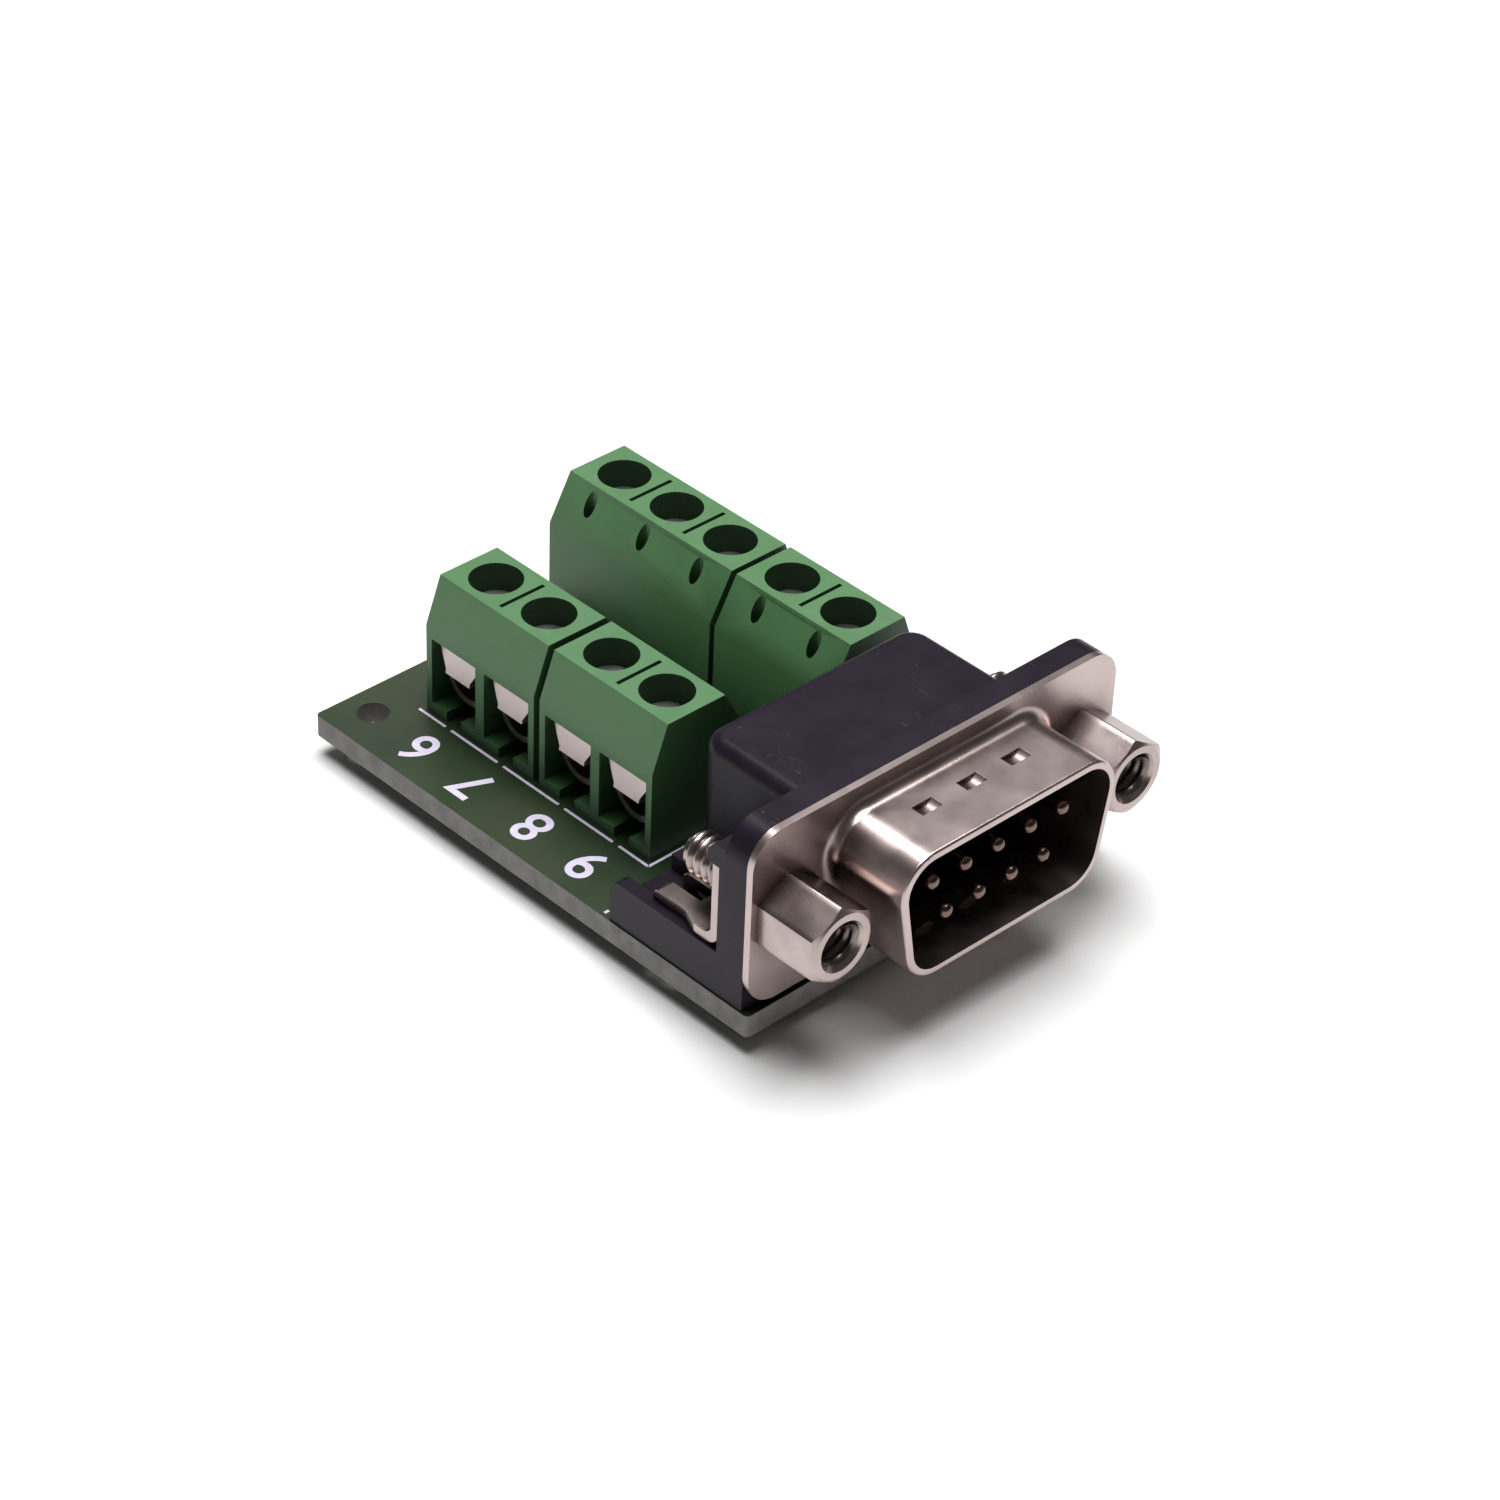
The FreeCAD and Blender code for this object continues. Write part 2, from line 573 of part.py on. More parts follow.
def dsub_insulator():
    body = new_body("dsub_insulator", y=FACE_Y, z=PLUG_Z)
    d_shape(body, "front", "-1 * shroud_wall - insulator_fit", "-1 * insulator_lead", "flange_sheet")
    d_shape(body, "collar", "collar_growth - shroud_wall", "flange_sheet", PLATE_BACK)
    half = "(hood_half_width - hood_wall - insulator_play)"
    tall = f"(hood_height - hood_wall - {PLUG_LIFT} - insulator_play)"
    block = rectangle(body, "rear_block", "XZ", f"-1 * {half}", half, f"-1 * {tall}", tall,
                      f"-1 * {PLATE_BACK}")
    pad(body, block, "insulator_tail", reverse=True)
    places = [contact_place(number)[:2] for number in UPPER_CONTACTS + LOWER_CONTACTS]
    bores = circles(body, "contact_bores", "XZ", places, "contact_diameter + contact_fit")
    pocket(body, bores, THROUGH, both=True)
    return body


def contact_pin(number):
    """A round pin with a domed tip, stepped down to a tail that bends into the board."""
    x, level, row = contact_place(number)
    body = new_body(f"contact_pin_{number}", x=x, y=FACE_Y, z=f"{PLUG_Z} + {level}")
    step = f"({PLATE_BACK} + insulator_tail - tail_start)"
    half = rectangle(body, f"pin_{number}_half", "YZ", "-1 * contact_reach", step,
                     "0", "contact_diameter / 2")
    pin = body.newObject("PartDesign::Revolution", f"pin_{number}_turned")
    pin.Profile = half
    pin.ReferenceAxis = (half, ["H_Axis"])
    doc.recompute()
    round_edges(body, "contact_dome", rim("y", "-1 * contact_reach", "contact_diameter / 2"))
    profile = circles(body, f"tail_{number}_round", "XZ", (("0", "0"),), "tail_diameter", f"-1 * {step}")
    path = new_sketch(body, f"tail_{number}_path", "YZ", "0")
    corner_y, bend, foot = value(row), value("tail_bend"), -value(f"{PLUG_Z} + {level}")
    start = FreeCAD.Vector(value(step), 0, 0)
    turn_in = FreeCAD.Vector(corner_y - bend, 0, 0)
    turn_out = FreeCAD.Vector(corner_y, -bend, 0)
    half_turn = bend * math.sqrt(0.5)
    on_bend = FreeCAD.Vector(corner_y - bend + half_turn, half_turn - bend, 0)
    path.addGeometry(Part.LineSegment(start, turn_in))
    path.addGeometry(Part.Arc(turn_in, on_bend, turn_out))
    path.addGeometry(Part.LineSegment(turn_out, FreeCAD.Vector(corner_y, foot, 0)))
    hold(path, "DistanceX", 0, 1, step, "start_y")
    hold(path, "DistanceY", 0, 1, "0", "start_z")
    hold(path, "DistanceX", 0, 2, f"{row} - tail_bend", "turn_in_y")
    hold(path, "DistanceY", 0, 2, "0", "turn_in_z")
    hold(path, "DistanceX", 1, 3, f"{row} - tail_bend", "bend_y")
    hold(path, "DistanceY", 1, 3, "-1 * tail_bend", "bend_z")
    hold(path, "DistanceX", 2, 1, row, "turn_out_y")
    hold(path, "DistanceY", 2, 1, "-1 * tail_bend", "turn_out_z")
    hold(path, "DistanceX", 2, 2, row, "foot_y")
    hold(path, "DistanceY", 2, 2, f"-1 * ({PLUG_Z} + {level})", "foot_z")
    doc.recompute()
    tail = body.newObject("PartDesign::AdditivePipe", f"tail_{number}_bent")
    tail.Profile = profile
    tail.Spine = (path, ["Edge1", "Edge2", "Edge3"])
    doc.recompute()
    return body


# %% Plug: black rear housing

def dsub_hood():
    body = new_body("dsub_hood", y=FACE_Y, z=BOARD_TOP)
    outer, top = "flange_width / 2", "(flange_lift + flange_height)"
    main = rectangle(body, "hood_block", "XZ", "-1 * hood_half_width", "hood_half_width",
                     "0", "hood_height", "-1 * flange_sheet")
    pad(body, main, "hood_depth - flange_sheet", reverse=True)
    round_edges(body, "hood_corner", straight("z", y="hood_depth"))
    rear_y, top_z = value("hood_depth"), value("hood_height")

    def over_the_top(edge):
        box = edge.BoundBox
        return abs(box.ZMin - top_z) < NEAR and box.YMax - box.YMin > NEAR or (
            abs(box.ZMin - top_z) < NEAR and abs(box.YMax - rear_y) < NEAR)
    round_edges(body, "hood_top_round", over_the_top)
    plate = rectangle(body, "hood_front_plate", "XZ", f"-1 * {outer}", outer, "0", top, "-1 * flange_sheet")
    pad(body, plate, "hood_plate", reverse=True)
    round_edges(body, "flange_corner", straight("y", x=outer, z=top))
    hump = (
        (PLATE_BACK, "0"),
        (BOSS_BACK, "0"),
        (BOSS_BACK, "lock_top"),
        (f"{BOSS_BACK} + hood_hump", "lock_top"),
        (f"{BOSS_BACK} + hood_hump", "hood_boss_top - hood_hump_bevel"),
        (f"{BOSS_BACK} + hood_hump - hood_hump_bevel", "hood_boss_top"),
        (PLATE_BACK, "hood_boss_top"),
    )
    for side in SIDES:
        inner = "(hood_half_width - hood_wall / 2)"
        outline = polygon(body, "hood_side_pad", "YZ", hump, f"{side} * ({outer} + {inner}) / 2")
        pad(body, outline, f"{outer} - {inner}", both=True)
    step = rectangle(body, "hood_step", "XZ", "-1 * step_half_width", "step_half_width",
                     "0", "step_height", f"-1 * {PLATE_BACK}")
    pad(body, step, f"hood_depth - {PLATE_BACK}", reverse=True)
    ledge = rectangle(body, "hood_ledge", "XZ", f"-1 * {outer}", outer,
                      "0", "ledge_height", f"-1 * {PLATE_BACK}")
    pad(body, ledge, f"hood_depth - {PLATE_BACK}", reverse=True)
    for side in SIDES:
        rail = rectangle(body, "hood_rail", "XZ", f"{side} * ({outer} - rail_width)", f"{side} * {outer}",
                         "0", "rail_height", f"-1 * {PLATE_BACK}")
        pad(body, rail, f"rail_length - {PLATE_BACK}", reverse=True)
    round_edges(body, "rail_corner", straight("x", y="rail_length", z="rail_height"))
    room = "(hood_half_width - hood_wall)"
    cavity = rectangle(body, "hood_cavity", "XY", f"-1 * {room}", room, PLATE_BACK, "hood_depth - hood_wall")
    pocket(body, cavity, "hood_height - hood_wall", reverse=True)
    d_shape(body, "collar_seat", "collar_growth - shroud_wall + insulator_fit", "flange_sheet", PLATE_BACK,
            centre_z=PLUG_LIFT, cut=True)
    places = (("jack_half_span", PLUG_LIFT), ("-1 * jack_half_span", PLUG_LIFT))
    pocket(body, circles(body, "rod_holes", "XZ", places, "jack_hole"), THROUGH, both=True)
    for side in SIDES:
        slot = rectangle(body, "leg_slot", "XY", f"{side} * ({LOCK_PRONG_INNER} - lock_play_side)",
                         f"{side} * ({LOCK_PRONG_OUTER} + lock_play_side)", "lock_reach - 2 * lock_sheet",
                         "lock_reach + lock_play_rear")
        pocket(body, slot, "ledge_height", reverse=True)
    return body


# %% Plug: jackscrews and board locks

def jackscrew(label, side):
    """A hexagonal standoff with a tapped bore in front and a threaded rod behind."""
    body = new_body(label, x=f"{side} * jack_half_span", y=FACE_Y, z=PLUG_Z)
    corner = "jack_flats / (2 * cos(30 deg))"
    corners = [(f"{corner} * sin({60 * k} deg)", f"{corner} * cos({60 * k} deg)") for k in range(6)]
    pad(body, polygon(body, f"{label}_hexagon", "XZ", corners), "jack_head")
    end, inner = "-1 * jack_head", "jack_face / 2"
    foot = f"{end} + ({corner} - {inner}) * tan(30 deg)"
    bevel = (
        (f"{end} - {CLEAR}", inner),
        (end, inner),
        (foot, corner),
        (foot, f"{corner} + {CLEAR}"),
        (f"{end} - {CLEAR}", f"{corner} + {CLEAR}"),
    )
    profile = polygon(body, f"{label}_bevel", "YZ", bevel)
    before = body.Shape.Volume
    groove = body.newObject("PartDesign::Groove", f"{label}_bevel_cut")
    groove.Profile = profile
    groove.ReferenceAxis = (profile, ["H_Axis"])
    doc.recompute()
    if body.Shape.Volume > before - NEAR:
        raise RuntimeError(f"{label} has no bevel")
    rod = circles(body, f"{label}_rod", "XZ", (("0", "0"),), "jack_thread")
    pad(body, rod, "jack_reach", reverse=True)
    chamfer_edges(body, "jack_rod_chamfer", rim("y", "jack_reach", "jack_thread / 2"))
    bore = circles(body, f"{label}_bore", "XZ", (("0", "0"),), "jack_bore", "jack_head")
    pocket(body, bore, "jack_bore_depth")
    chamfer_edges(body, "jack_sink", rim("y", end, "jack_bore / 2"))
    return body


def board_lock(label, side):
    """A folded sheet: a threaded ear behind the flange and a forked foot into the board."""
    body = new_body(label, y=FACE_Y, z=BOARD_TOP)
    foot_top = "(rail_height + lock_sheet)"
    fold = (
        (BOSS_BACK, "lock_top"),
        (f"{BOSS_BACK} + lock_sheet", "lock_top"),
        (f"{BOSS_BACK} + lock_sheet", foot_top),
        ("lock_reach", foot_top),
        ("lock_reach", "-1 * (board_thickness + lock_leg_reach)"),
        ("lock_reach - lock_sheet", "-1 * (board_thickness + lock_leg_reach)"),
        ("lock_reach - lock_sheet", "rail_height"),
        (BOSS_BACK, "rail_height"),
    )
    middle = f"{side} * (lock_inner + lock_outer) / 2"
    profile = polygon(body, f"{label}_fold", "YZ", fold, middle)
    pad(body, profile, "lock_outer - lock_inner", both=True)
    round_edges(body, "lock_bend + lock_sheet", straight("x", y=BOSS_BACK, z="rail_height"))
    round_edges(body, "lock_bend", straight("x", y=f"{BOSS_BACK} + lock_sheet", z=foot_top))
    round_edges(body, "lock_bend", straight("x", y="lock_reach", z=foot_top))
    wide = f"(lock_outer + {CLEAR})"
    rear = f"lock_reach + {CLEAR}"
    slot = rectangle(body, f"{label}_slot", "XY", f"{side} * {LOCK_SLOT_INNER}",
                     f"{side} * {LOCK_SLOT_OUTER}", "lock_lobe", rear)
    pocket(body, slot, THROUGH, both=True)
    outside = (
        (f"{side} * {LOCK_PRONG_OUTER}", rear),
        (f"{side} * {LOCK_PRONG_OUTER}", "lock_lobe"),
        (f"{side} * lock_outer", "lock_lobe - lock_lobe_corner"),
        (f"{side} * {wide}", "lock_lobe - lock_lobe_corner"),
        (f"{side} * {wide}", rear),
    )
    pocket(body, polygon(body, f"{label}_outside", "XY", outside), THROUGH, both=True)
    inside = rectangle(body, f"{label}_inside", "XY", f"{side} * (lock_inner - {CLEAR})",
                       f"{side} * {LOCK_PRONG_INNER}", "lock_lobe", rear)
    pocket(body, inside, THROUGH, both=True)
    round_edges(body, "lock_lobe_round", straight("z", x="lock_outer", y="lock_lobe - lock_lobe_corner"))
    leg_outer = f"({LOCK_SLOT_OUTER} + lock_leg_width)"
    shoulder = rectangle(body, f"{label}_shoulder", "XZ", f"{side} * {leg_outer}", f"{side} * {wide}",
                         "-1 * (board_thickness + tail_length)", "rail_height")
    pocket(body, shoulder, THROUGH, both=True)
    tapped = circles(body, f"{label}_tapped", "XZ", ((f"{side} * jack_half_span", PLUG_LIFT),),
                     "jack_thread + jack_thread_fit")
    pocket(body, tapped, THROUGH, both=True)
    return body


# %% Terminal blocks

def terminal_housing(block):
    """The moulding: sloped profile, and per pole a screw well, a clamp chamber and a test hole."""
    middle_y = f"{FACE_Y} + {block.middle}"
    body = new_body(block.name, x=block.face_x, y=middle_y, z=BOARD_TOP, turn=block.turn)
    profile = (
        ("0", "0"),
        ("block_depth", "0"),
        ("block_depth", "block_shoulder"),
        ("block_depth - block_back_slope", "block_height"),
        ("block_front_slope", "block_height"),
        ("0", "block_shoulder"),
    )
    pad(body, polygon(body, "block_profile", "XZ", profile), block.length, both=True)
    chamber_back = "(cage_front + cage_length + 2 * cage_play)"
    chamber_top = "(cage_top + cage_play)"
    chamber = (
        (f"-1 * {CLEAR}", "opening_bottom"),
        (chamber_back, "opening_bottom"),
        (chamber_back, chamber_top),
        ("lip_slot_back", chamber_top),
        ("lip_slot_back", "lip_slot_top"),
        ("lip_high", "lip_slot_top"),
        ("lip_low", "opening_top"),
        (f"-1 * {CLEAR}", "opening_top"),
    )
    offsets = [block.offset(pole) for pole in block.poles]
    turned = -1 if block.turn else 1
    for offset in offsets:
        across = f"({turned} * {offset})"
        room = polygon(body, "clamp_chamber", "XZ", chamber, f"-1 * {across}")
        pocket(body, room, "opening_width", both=True)
        notch = rectangle(body, "sill_notch", "XY", f"-1 * {CLEAR}", "well_inset + sill_notch / 2",
                          f"{across} - sill_notch / 2", f"{across} + sill_notch / 2")
        pocket(body, notch, f"opening_bottom + {RUN_ON}", reverse=True)
    wells = [("well_inset", f"{turned} * {offset}") for offset in offsets]
    well = circles(body, "screw_wells", "XY", wells, "well_diameter", "block_height")
    pocket(body, well, f"block_height - {chamber_top} + {RUN_ON}")
    probes = [("probe_inset", f"{turned} * {offset}") for offset in offsets]
    probe = circles(body, "test_holes", "XY", probes, "probe_hole", "block_height")
    pocket(body, probe, "block_height - probe_floor")
    for index in range(len(block.poles) - 1):
        line = f"({index + 1 - len(block.poles) / 2} * pole_pitch)"
        groove = rectangle(body, "top_groove", "XY", "groove_front", "groove_back",
                           f"{line} - groove_width / 2", f"{line} + groove_width / 2", "block_height")
        pocket(body, groove, "groove_depth")
    return body


def trough(body, name, radius, top, place):
    """A U outline across the cage: a half circle below, straight walls up to a flat top."""
    sketch = new_sketch(body, name, "YZ", place)
    size, centre_z, top_z = value(radius), value("cage_bottom + cage_width / 2"), value(top)
    centre = FreeCAD.Vector(0, centre_z, 0)
    corners = [FreeCAD.Vector(size, centre_z, 0), FreeCAD.Vector(size, top_z, 0),
               FreeCAD.Vector(-size, top_z, 0), FreeCAD.Vector(-size, centre_z, 0)]
    half_circle = Part.ArcOfCircle(Part.Circle(centre, FreeCAD.Vector(0, 0, 1), size), math.pi, 2 * math.pi)
    sketch.addGeometry(half_circle)
    for start, end in zip(corners, corners[1:]):
        sketch.addGeometry(Part.LineSegment(start, end))
    for first, second in ((0, 1), (1, 2), (2, 3)):
        sketch.addConstraint(Sketcher.Constraint("Coincident", first, 2, second, 1))
    sketch.addConstraint(Sketcher.Constraint("Coincident", 3, 2, 0, 1))
    hold(sketch, "DistanceX", 0, 3, "0", "centre_across")
    hold(sketch, "DistanceY", 0, 3, "cage_bottom + cage_width / 2", "centre_up")
    hold(sketch, "DistanceY", 0, 1, "cage_bottom + cage_width / 2", "left_foot")
    hold(sketch, "DistanceY", 0, 2, "cage_bottom + cage_width / 2", "right_foot")
    hold(sketch, "DistanceY", 1, 2, top, "right_top")
    bend = sketch.addConstraint(Sketcher.Constraint("Radius", 0, size))
    sketch.renameConstraint(bend, "bend")
    sketch.setExpression("Constraints.bend", cells(radius))
    for kind, line in (("Vertical", 1), ("Horizontal", 2), ("Vertical", 3)):
        sketch.addConstraint(Sketcher.Constraint(kind, line))
    return sketch


def clamp_cradle(block, pole):
    """A folded cage with a round trough, a threaded top plate and a solder pin."""
    label = f"clamp_cradle_{pole}"
    body = new_body(label, x=block.face_x, y=block.pole_y(pole), z=BOARD_TOP, turn=block.turn)
    outside = trough(body, f"{label}_outside", "(cage_width / 2)", "cage_top", "cage_front")
    pad(body, outside, "cage_length")
    inside = trough(body, f"{label}_inside", "(cage_width / 2 - cage_sheet)", "cage_top - cage_plate",
                    "cage_front")
    pocket(body, inside, "cage_length", reverse=True)
    thread = circles(body, f"{label}_thread", "XY", (("well_inset", "0"),), "screw_shank + screw_fit",
                     "cage_top")
    pocket(body, thread, f"cage_plate + {RUN_ON}")
    pin_top = "cage_bottom + cage_sheet / 2"
    pin = circles(body, f"{label}_pin", "XY", (("well_inset", "0"),), "cage_pin", pin_top)
    pad(body, pin, f"{pin_top} + board_thickness + tail_length", reverse=True)
    return body


def wire_leaf(block, pole):
    """The leaf under the screw that presses the wire, with the guard tab at its front."""
    label = f"wire_leaf_{pole}"
    body = new_body(label, x=block.face_x, y=block.pole_y(pole), z=BOARD_TOP, turn=block.turn)
    leaf_top = "(leaf_bottom + leaf_sheet)"
    fold = (
        ("leaf_front_low", "leaf_bottom"),
        ("leaf_back", "leaf_bottom"),
        ("leaf_back", leaf_top),
        ("leaf_front_low + tab_sheet", leaf_top),
        ("leaf_front_high + tab_sheet", "opening_top"),
        ("leaf_front_high", "opening_top"),
    )
    pad(body, polygon(body, f"{label}_fold", "XZ", fold), "2 * tab_half_high", both=True)
    for side in SIDES:
        taper = (
            (f"{side} * tab_half_low", f"leaf_bottom - {CLEAR}"),
            (f"{side} * tab_half_low", leaf_top),
            (f"{side} * tab_half_high", "tab_shoulder"),
            (f"{side} * (tab_half_high + {CLEAR})", "tab_shoulder"),
            (f"{side} * (tab_half_high + {CLEAR})", f"leaf_bottom - {CLEAR}"),
        )
        pocket(body, polygon(body, f"{label}_taper", "YZ", taper), THROUGH, both=True)
    return body


def terminal_screw(block, pole):
    """A cheese-head screw with a driver slot, standing on the pressing leaf."""
    label = f"terminal_screw_{pole}"
    body = new_body(label, x=block.inward("well_inset"), y=block.pole_y(pole), z=BOARD_TOP)
    head_top = "(block_height - screw_depth)"
    head_foot = f"({head_top} - screw_head_height)"
    tip = "(leaf_bottom + leaf_sheet + screw_tip_gap)"
    half = (
        ("0", tip),
        ("screw_shank / 2 - screw_tip_chamfer", tip),
        ("screw_shank / 2", f"{tip} + screw_tip_chamfer"),
        ("screw_shank / 2", head_foot),
        ("screw_head / 2", head_foot),
        ("screw_head / 2", f"{head_top} - screw_head_chamfer"),
        ("screw_head / 2 - screw_head_chamfer", head_top),
        ("0", head_top),
    )
    profile = polygon(body, f"{label}_half", "XZ", half)
    turned = body.newObject("PartDesign::Revolution", f"{label}_turned")
    turned.Profile = profile
    turned.ReferenceAxis = (profile, ["V_Axis"])
    doc.recompute()
    slot = rectangle(body, f"{label}_slot", "XY", "-1 * screw_head", "screw_head",
                     "-1 * screw_slot / 2", "screw_slot / 2", head_top)
    pocket(body, slot, "screw_slot_depth")
    return body


# %% Build every piece

pieces = [circuit_board(), dsub_shell(), dsub_insulator(), dsub_hood()]
pieces += [contact_pin(number) for number in UPPER_CONTACTS + LOWER_CONTACTS]
for name, side in (("left", -1), ("right", 1)):
    pieces.append(jackscrew(f"jackscrew_{name}", side))
    pieces.append(board_lock(f"board_lock_{name}", side))
for block in BLOCKS:
    pieces.append(terminal_housing(block))
    for pole in block.poles:
        pieces.append(clamp_cradle(block, pole))
        pieces.append(wire_leaf(block, pole))
        pieces.append(terminal_screw(block, pole))
pieces.append(solder_joints())

doc.recompute()
for item in doc.Objects:
    if "Invalid" in item.State or "Error" in item.State:
        raise RuntimeError(f"{item.Label} did not build")
for piece in pieces:
    if piece.Shape.isNull() or not piece.Shape.isValid():
        raise RuntimeError(f"{piece.Label} has no valid shape")
for piece in pieces:
    piece.Shape.exportStep(f"parts/{piece.Label}.step")

whole = Part.makeCompound([piece.Shape for piece in pieces]).BoundBox
print(f"{len(pieces)} pieces, {whole.XLength:.2f} x {whole.YLength:.2f} x {whole.ZLength:.2f} mm")
print(f"low corner {whole.XMin:.2f}, {whole.YMin:.2f}, {whole.ZMin:.2f}")
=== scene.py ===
# %% [markdown]
# # A nine-way plug on a small board with screw terminals
#
# The real object is a green circuit board, 31 mm wide. A D-shaped plug stands on its front edge and
# two rows of green rising-clamp terminals stand behind it, so that nine single wires can be joined
# to the plug without soldering. The solids come from the CAD model, and this file gives them their
# looks: finishes, rounded edges, threads, solder and the white ink on the board.
#
# Everything is in metres, in the CAD model's own frame, so a piece goes where its solid is.

import math

import bmesh
import bpy
from mathutils import Matrix, Vector


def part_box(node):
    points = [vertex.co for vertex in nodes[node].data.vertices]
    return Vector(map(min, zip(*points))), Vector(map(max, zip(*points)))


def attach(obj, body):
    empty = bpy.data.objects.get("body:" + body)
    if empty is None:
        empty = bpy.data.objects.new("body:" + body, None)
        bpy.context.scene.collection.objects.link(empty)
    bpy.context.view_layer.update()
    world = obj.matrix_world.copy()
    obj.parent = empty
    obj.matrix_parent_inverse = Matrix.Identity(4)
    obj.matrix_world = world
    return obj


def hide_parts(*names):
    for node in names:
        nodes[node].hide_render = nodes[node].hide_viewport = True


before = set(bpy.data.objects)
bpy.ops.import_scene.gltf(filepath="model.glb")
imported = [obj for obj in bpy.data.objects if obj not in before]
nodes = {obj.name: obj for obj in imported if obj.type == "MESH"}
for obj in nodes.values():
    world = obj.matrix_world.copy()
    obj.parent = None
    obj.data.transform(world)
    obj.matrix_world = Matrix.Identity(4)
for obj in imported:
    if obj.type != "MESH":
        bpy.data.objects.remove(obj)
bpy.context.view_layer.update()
MM = 0.001

# %% [markdown]
# ## Places that the pieces share
#
# A few levels say where everything is: the board's two faces, the face of the plug's flange and
# the axis of each terminal. They are read from the solids, so nothing has to be fitted by eye.

# %% Shared places
board_low, board_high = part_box("circuit_board")
BOARD_TOP = board_high.z
BOARD_BOTTOM = board_low.z
FLANGE_SHEET = 0.5 * MM
FACE_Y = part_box("dsub_hood")[0].y - FLANGE_SHEET


def middle(node):
    """The middle of a node's box."""
    low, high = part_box(node)
    return (low + high) / 2


FAR_POLES = (1, 2, 3, 4, 5)
NEAR_POLES = (6, 7, 8, 9)
POLES = FAR_POLES + NEAR_POLES
pole_axis = {number: middle(f"terminal_screw_{number}") for number in POLES}
print(f"board top {BOARD_TOP / MM:.2f} mm, flange face {FACE_Y / MM:.2f} mm")

# %% [markdown]
# ## Camera
#
# The photograph was taken from the front left, 36 degrees above the table, with a long lens, so
# lines that run away from the eye hardly come together. The camera is set from its place and from
# two directions: where it looks and which way is right in the picture.

# %% Camera
CAMERA_PLACE = Vector((-156.87, -158.81, 169.42)) * MM
LOOK = Vector((0.5683, 0.5719, -0.5916)).normalized()
RIGHT = Vector((0.7264, -0.6865, 0.0341))
RIGHT = (RIGHT - LOOK * RIGHT.dot(LOOK)).normalized()
UP = RIGHT.cross(LOOK)

lens = bpy.data.cameras.new("photo_camera")
lens.sensor_width = 36
lens.lens = 105.65
lens.clip_start = 0.01
lens.clip_end = 10
camera = bpy.data.objects.new("photo_camera", lens)
bpy.context.scene.collection.objects.link(camera)
turn = Matrix((RIGHT, UP, -LOOK)).transposed()
camera.matrix_world = Matrix.Translation(CAMERA_PLACE) @ turn.to_4x4()
bpy.context.scene.camera = camera
print("camera", [round(value, 4) for value in CAMERA_PLACE])

# %% [markdown]
# ## Table and studio light
#
# Product photographs like this one use a white table and large soft lamps. The table lights the
# polished metal from below, because bright nickel mostly shows what lies around it. It is a plain
# grid, so that nothing on it draws the eye.

# %% Table
TABLE_HALF = 3


def plain_table():
    """A white table at the level of the object's foot, which isn't part of the object."""
    surface = bpy.data.materials.new("table_top")
    surface.use_nodes = True
    shader = surface.node_tree.nodes["Principled BSDF"]
    shader.inputs["Base Color"].default_value = (0.82, 0.82, 0.82, 1)
    shader.inputs["Roughness"].default_value = 0.9
    shape = bmesh.new()
    bmesh.ops.create_grid(shape, x_segments=2, y_segments=2, size=TABLE_HALF)
    mesh = bpy.data.meshes.new("table")
    shape.to_mesh(mesh)
    shape.free()
    mesh.materials.append(surface)
    table = bpy.data.objects.new("table", mesh)
    bpy.context.scene.collection.objects.link(table)
    print(f"table {2 * TABLE_HALF} m wide")


plain_table()

# %% [markdown]
# The main lamp hangs overhead, a little behind and to the right, so the upper faces are the
# lightest and the faces towards the eye stay dark. A second lamp low behind draws a soft sheen on
# the rear of the board and on the tops. A weak one at the left lifts the wire faces. All are square
# area lamps, because their wide shadows have no hard rim. A weak even glow fills the rest.

# %% Lamps
def soft_lamp(name, place, size, watts):
    """A square lamp that faces the object."""
    data = bpy.data.lights.new(name, "AREA")
    data.shape = "SQUARE"
    data.size = size
    data.energy = watts
    lamp = bpy.data.objects.new(name, data)
    bpy.context.scene.collection.objects.link(lamp)
    lamp.location = place
    lamp.rotation_euler = (-Vector(place)).to_track_quat("-Z", "Y").to_euler()
    print(f"lamp {name}: {watts} W, {size} m")


soft_lamp("overhead", (0.05, 0.04, 0.50), 0.38, 4.4)
soft_lamp("low_behind", (0.33, 0.38, 0.36), 0.30, 0.10)
soft_lamp("left", (-0.60, 0.10, 0.22), 0.30, 0.12)

sky = bpy.data.worlds.new("studio")
sky.use_nodes = True
sky.node_tree.nodes["Background"].inputs["Color"].default_value = (1.0, 0.985, 0.97, 1)
sky.node_tree.nodes["Background"].inputs["Strength"].default_value = 0.07
bpy.context.scene.world = sky
bpy.context.scene.view_settings.view_transform = "Standard"

# %% [markdown]
# ## Effects that several finishes share
#
# Real surfaces share a few faults: a fine grain, slow changes of tone and scuffs. One more effect is
# painted shade: colour darkened in corners, wells and narrow gaps where shade falls. Each of these is
# a node group, built once and placed in many materials with its own values. The patterns read Object
# coordinates, which are metres on the object, so a scale of 8000 means a pattern of about an eighth
# of a millimetre wherever it is used. Three small helpers make the groups short to write.

# %% Node group helpers
def start_group(name, inputs, outputs):
    """A shader node group with named number inputs and outputs."""
    group = bpy.data.node_groups.new(name, "ShaderNodeTree")
    for label, start in inputs:
        socket = group.interface.new_socket(label, in_out="INPUT", socket_type="NodeSocketFloat")
        socket.default_value = start
    for label in outputs:
        group.interface.new_socket(label, in_out="OUTPUT", socket_type="NodeSocketFloat")
    entry = group.nodes.new("NodeGroupInput")
    exit_node = group.nodes.new("NodeGroupOutput")
    return group, entry, exit_node


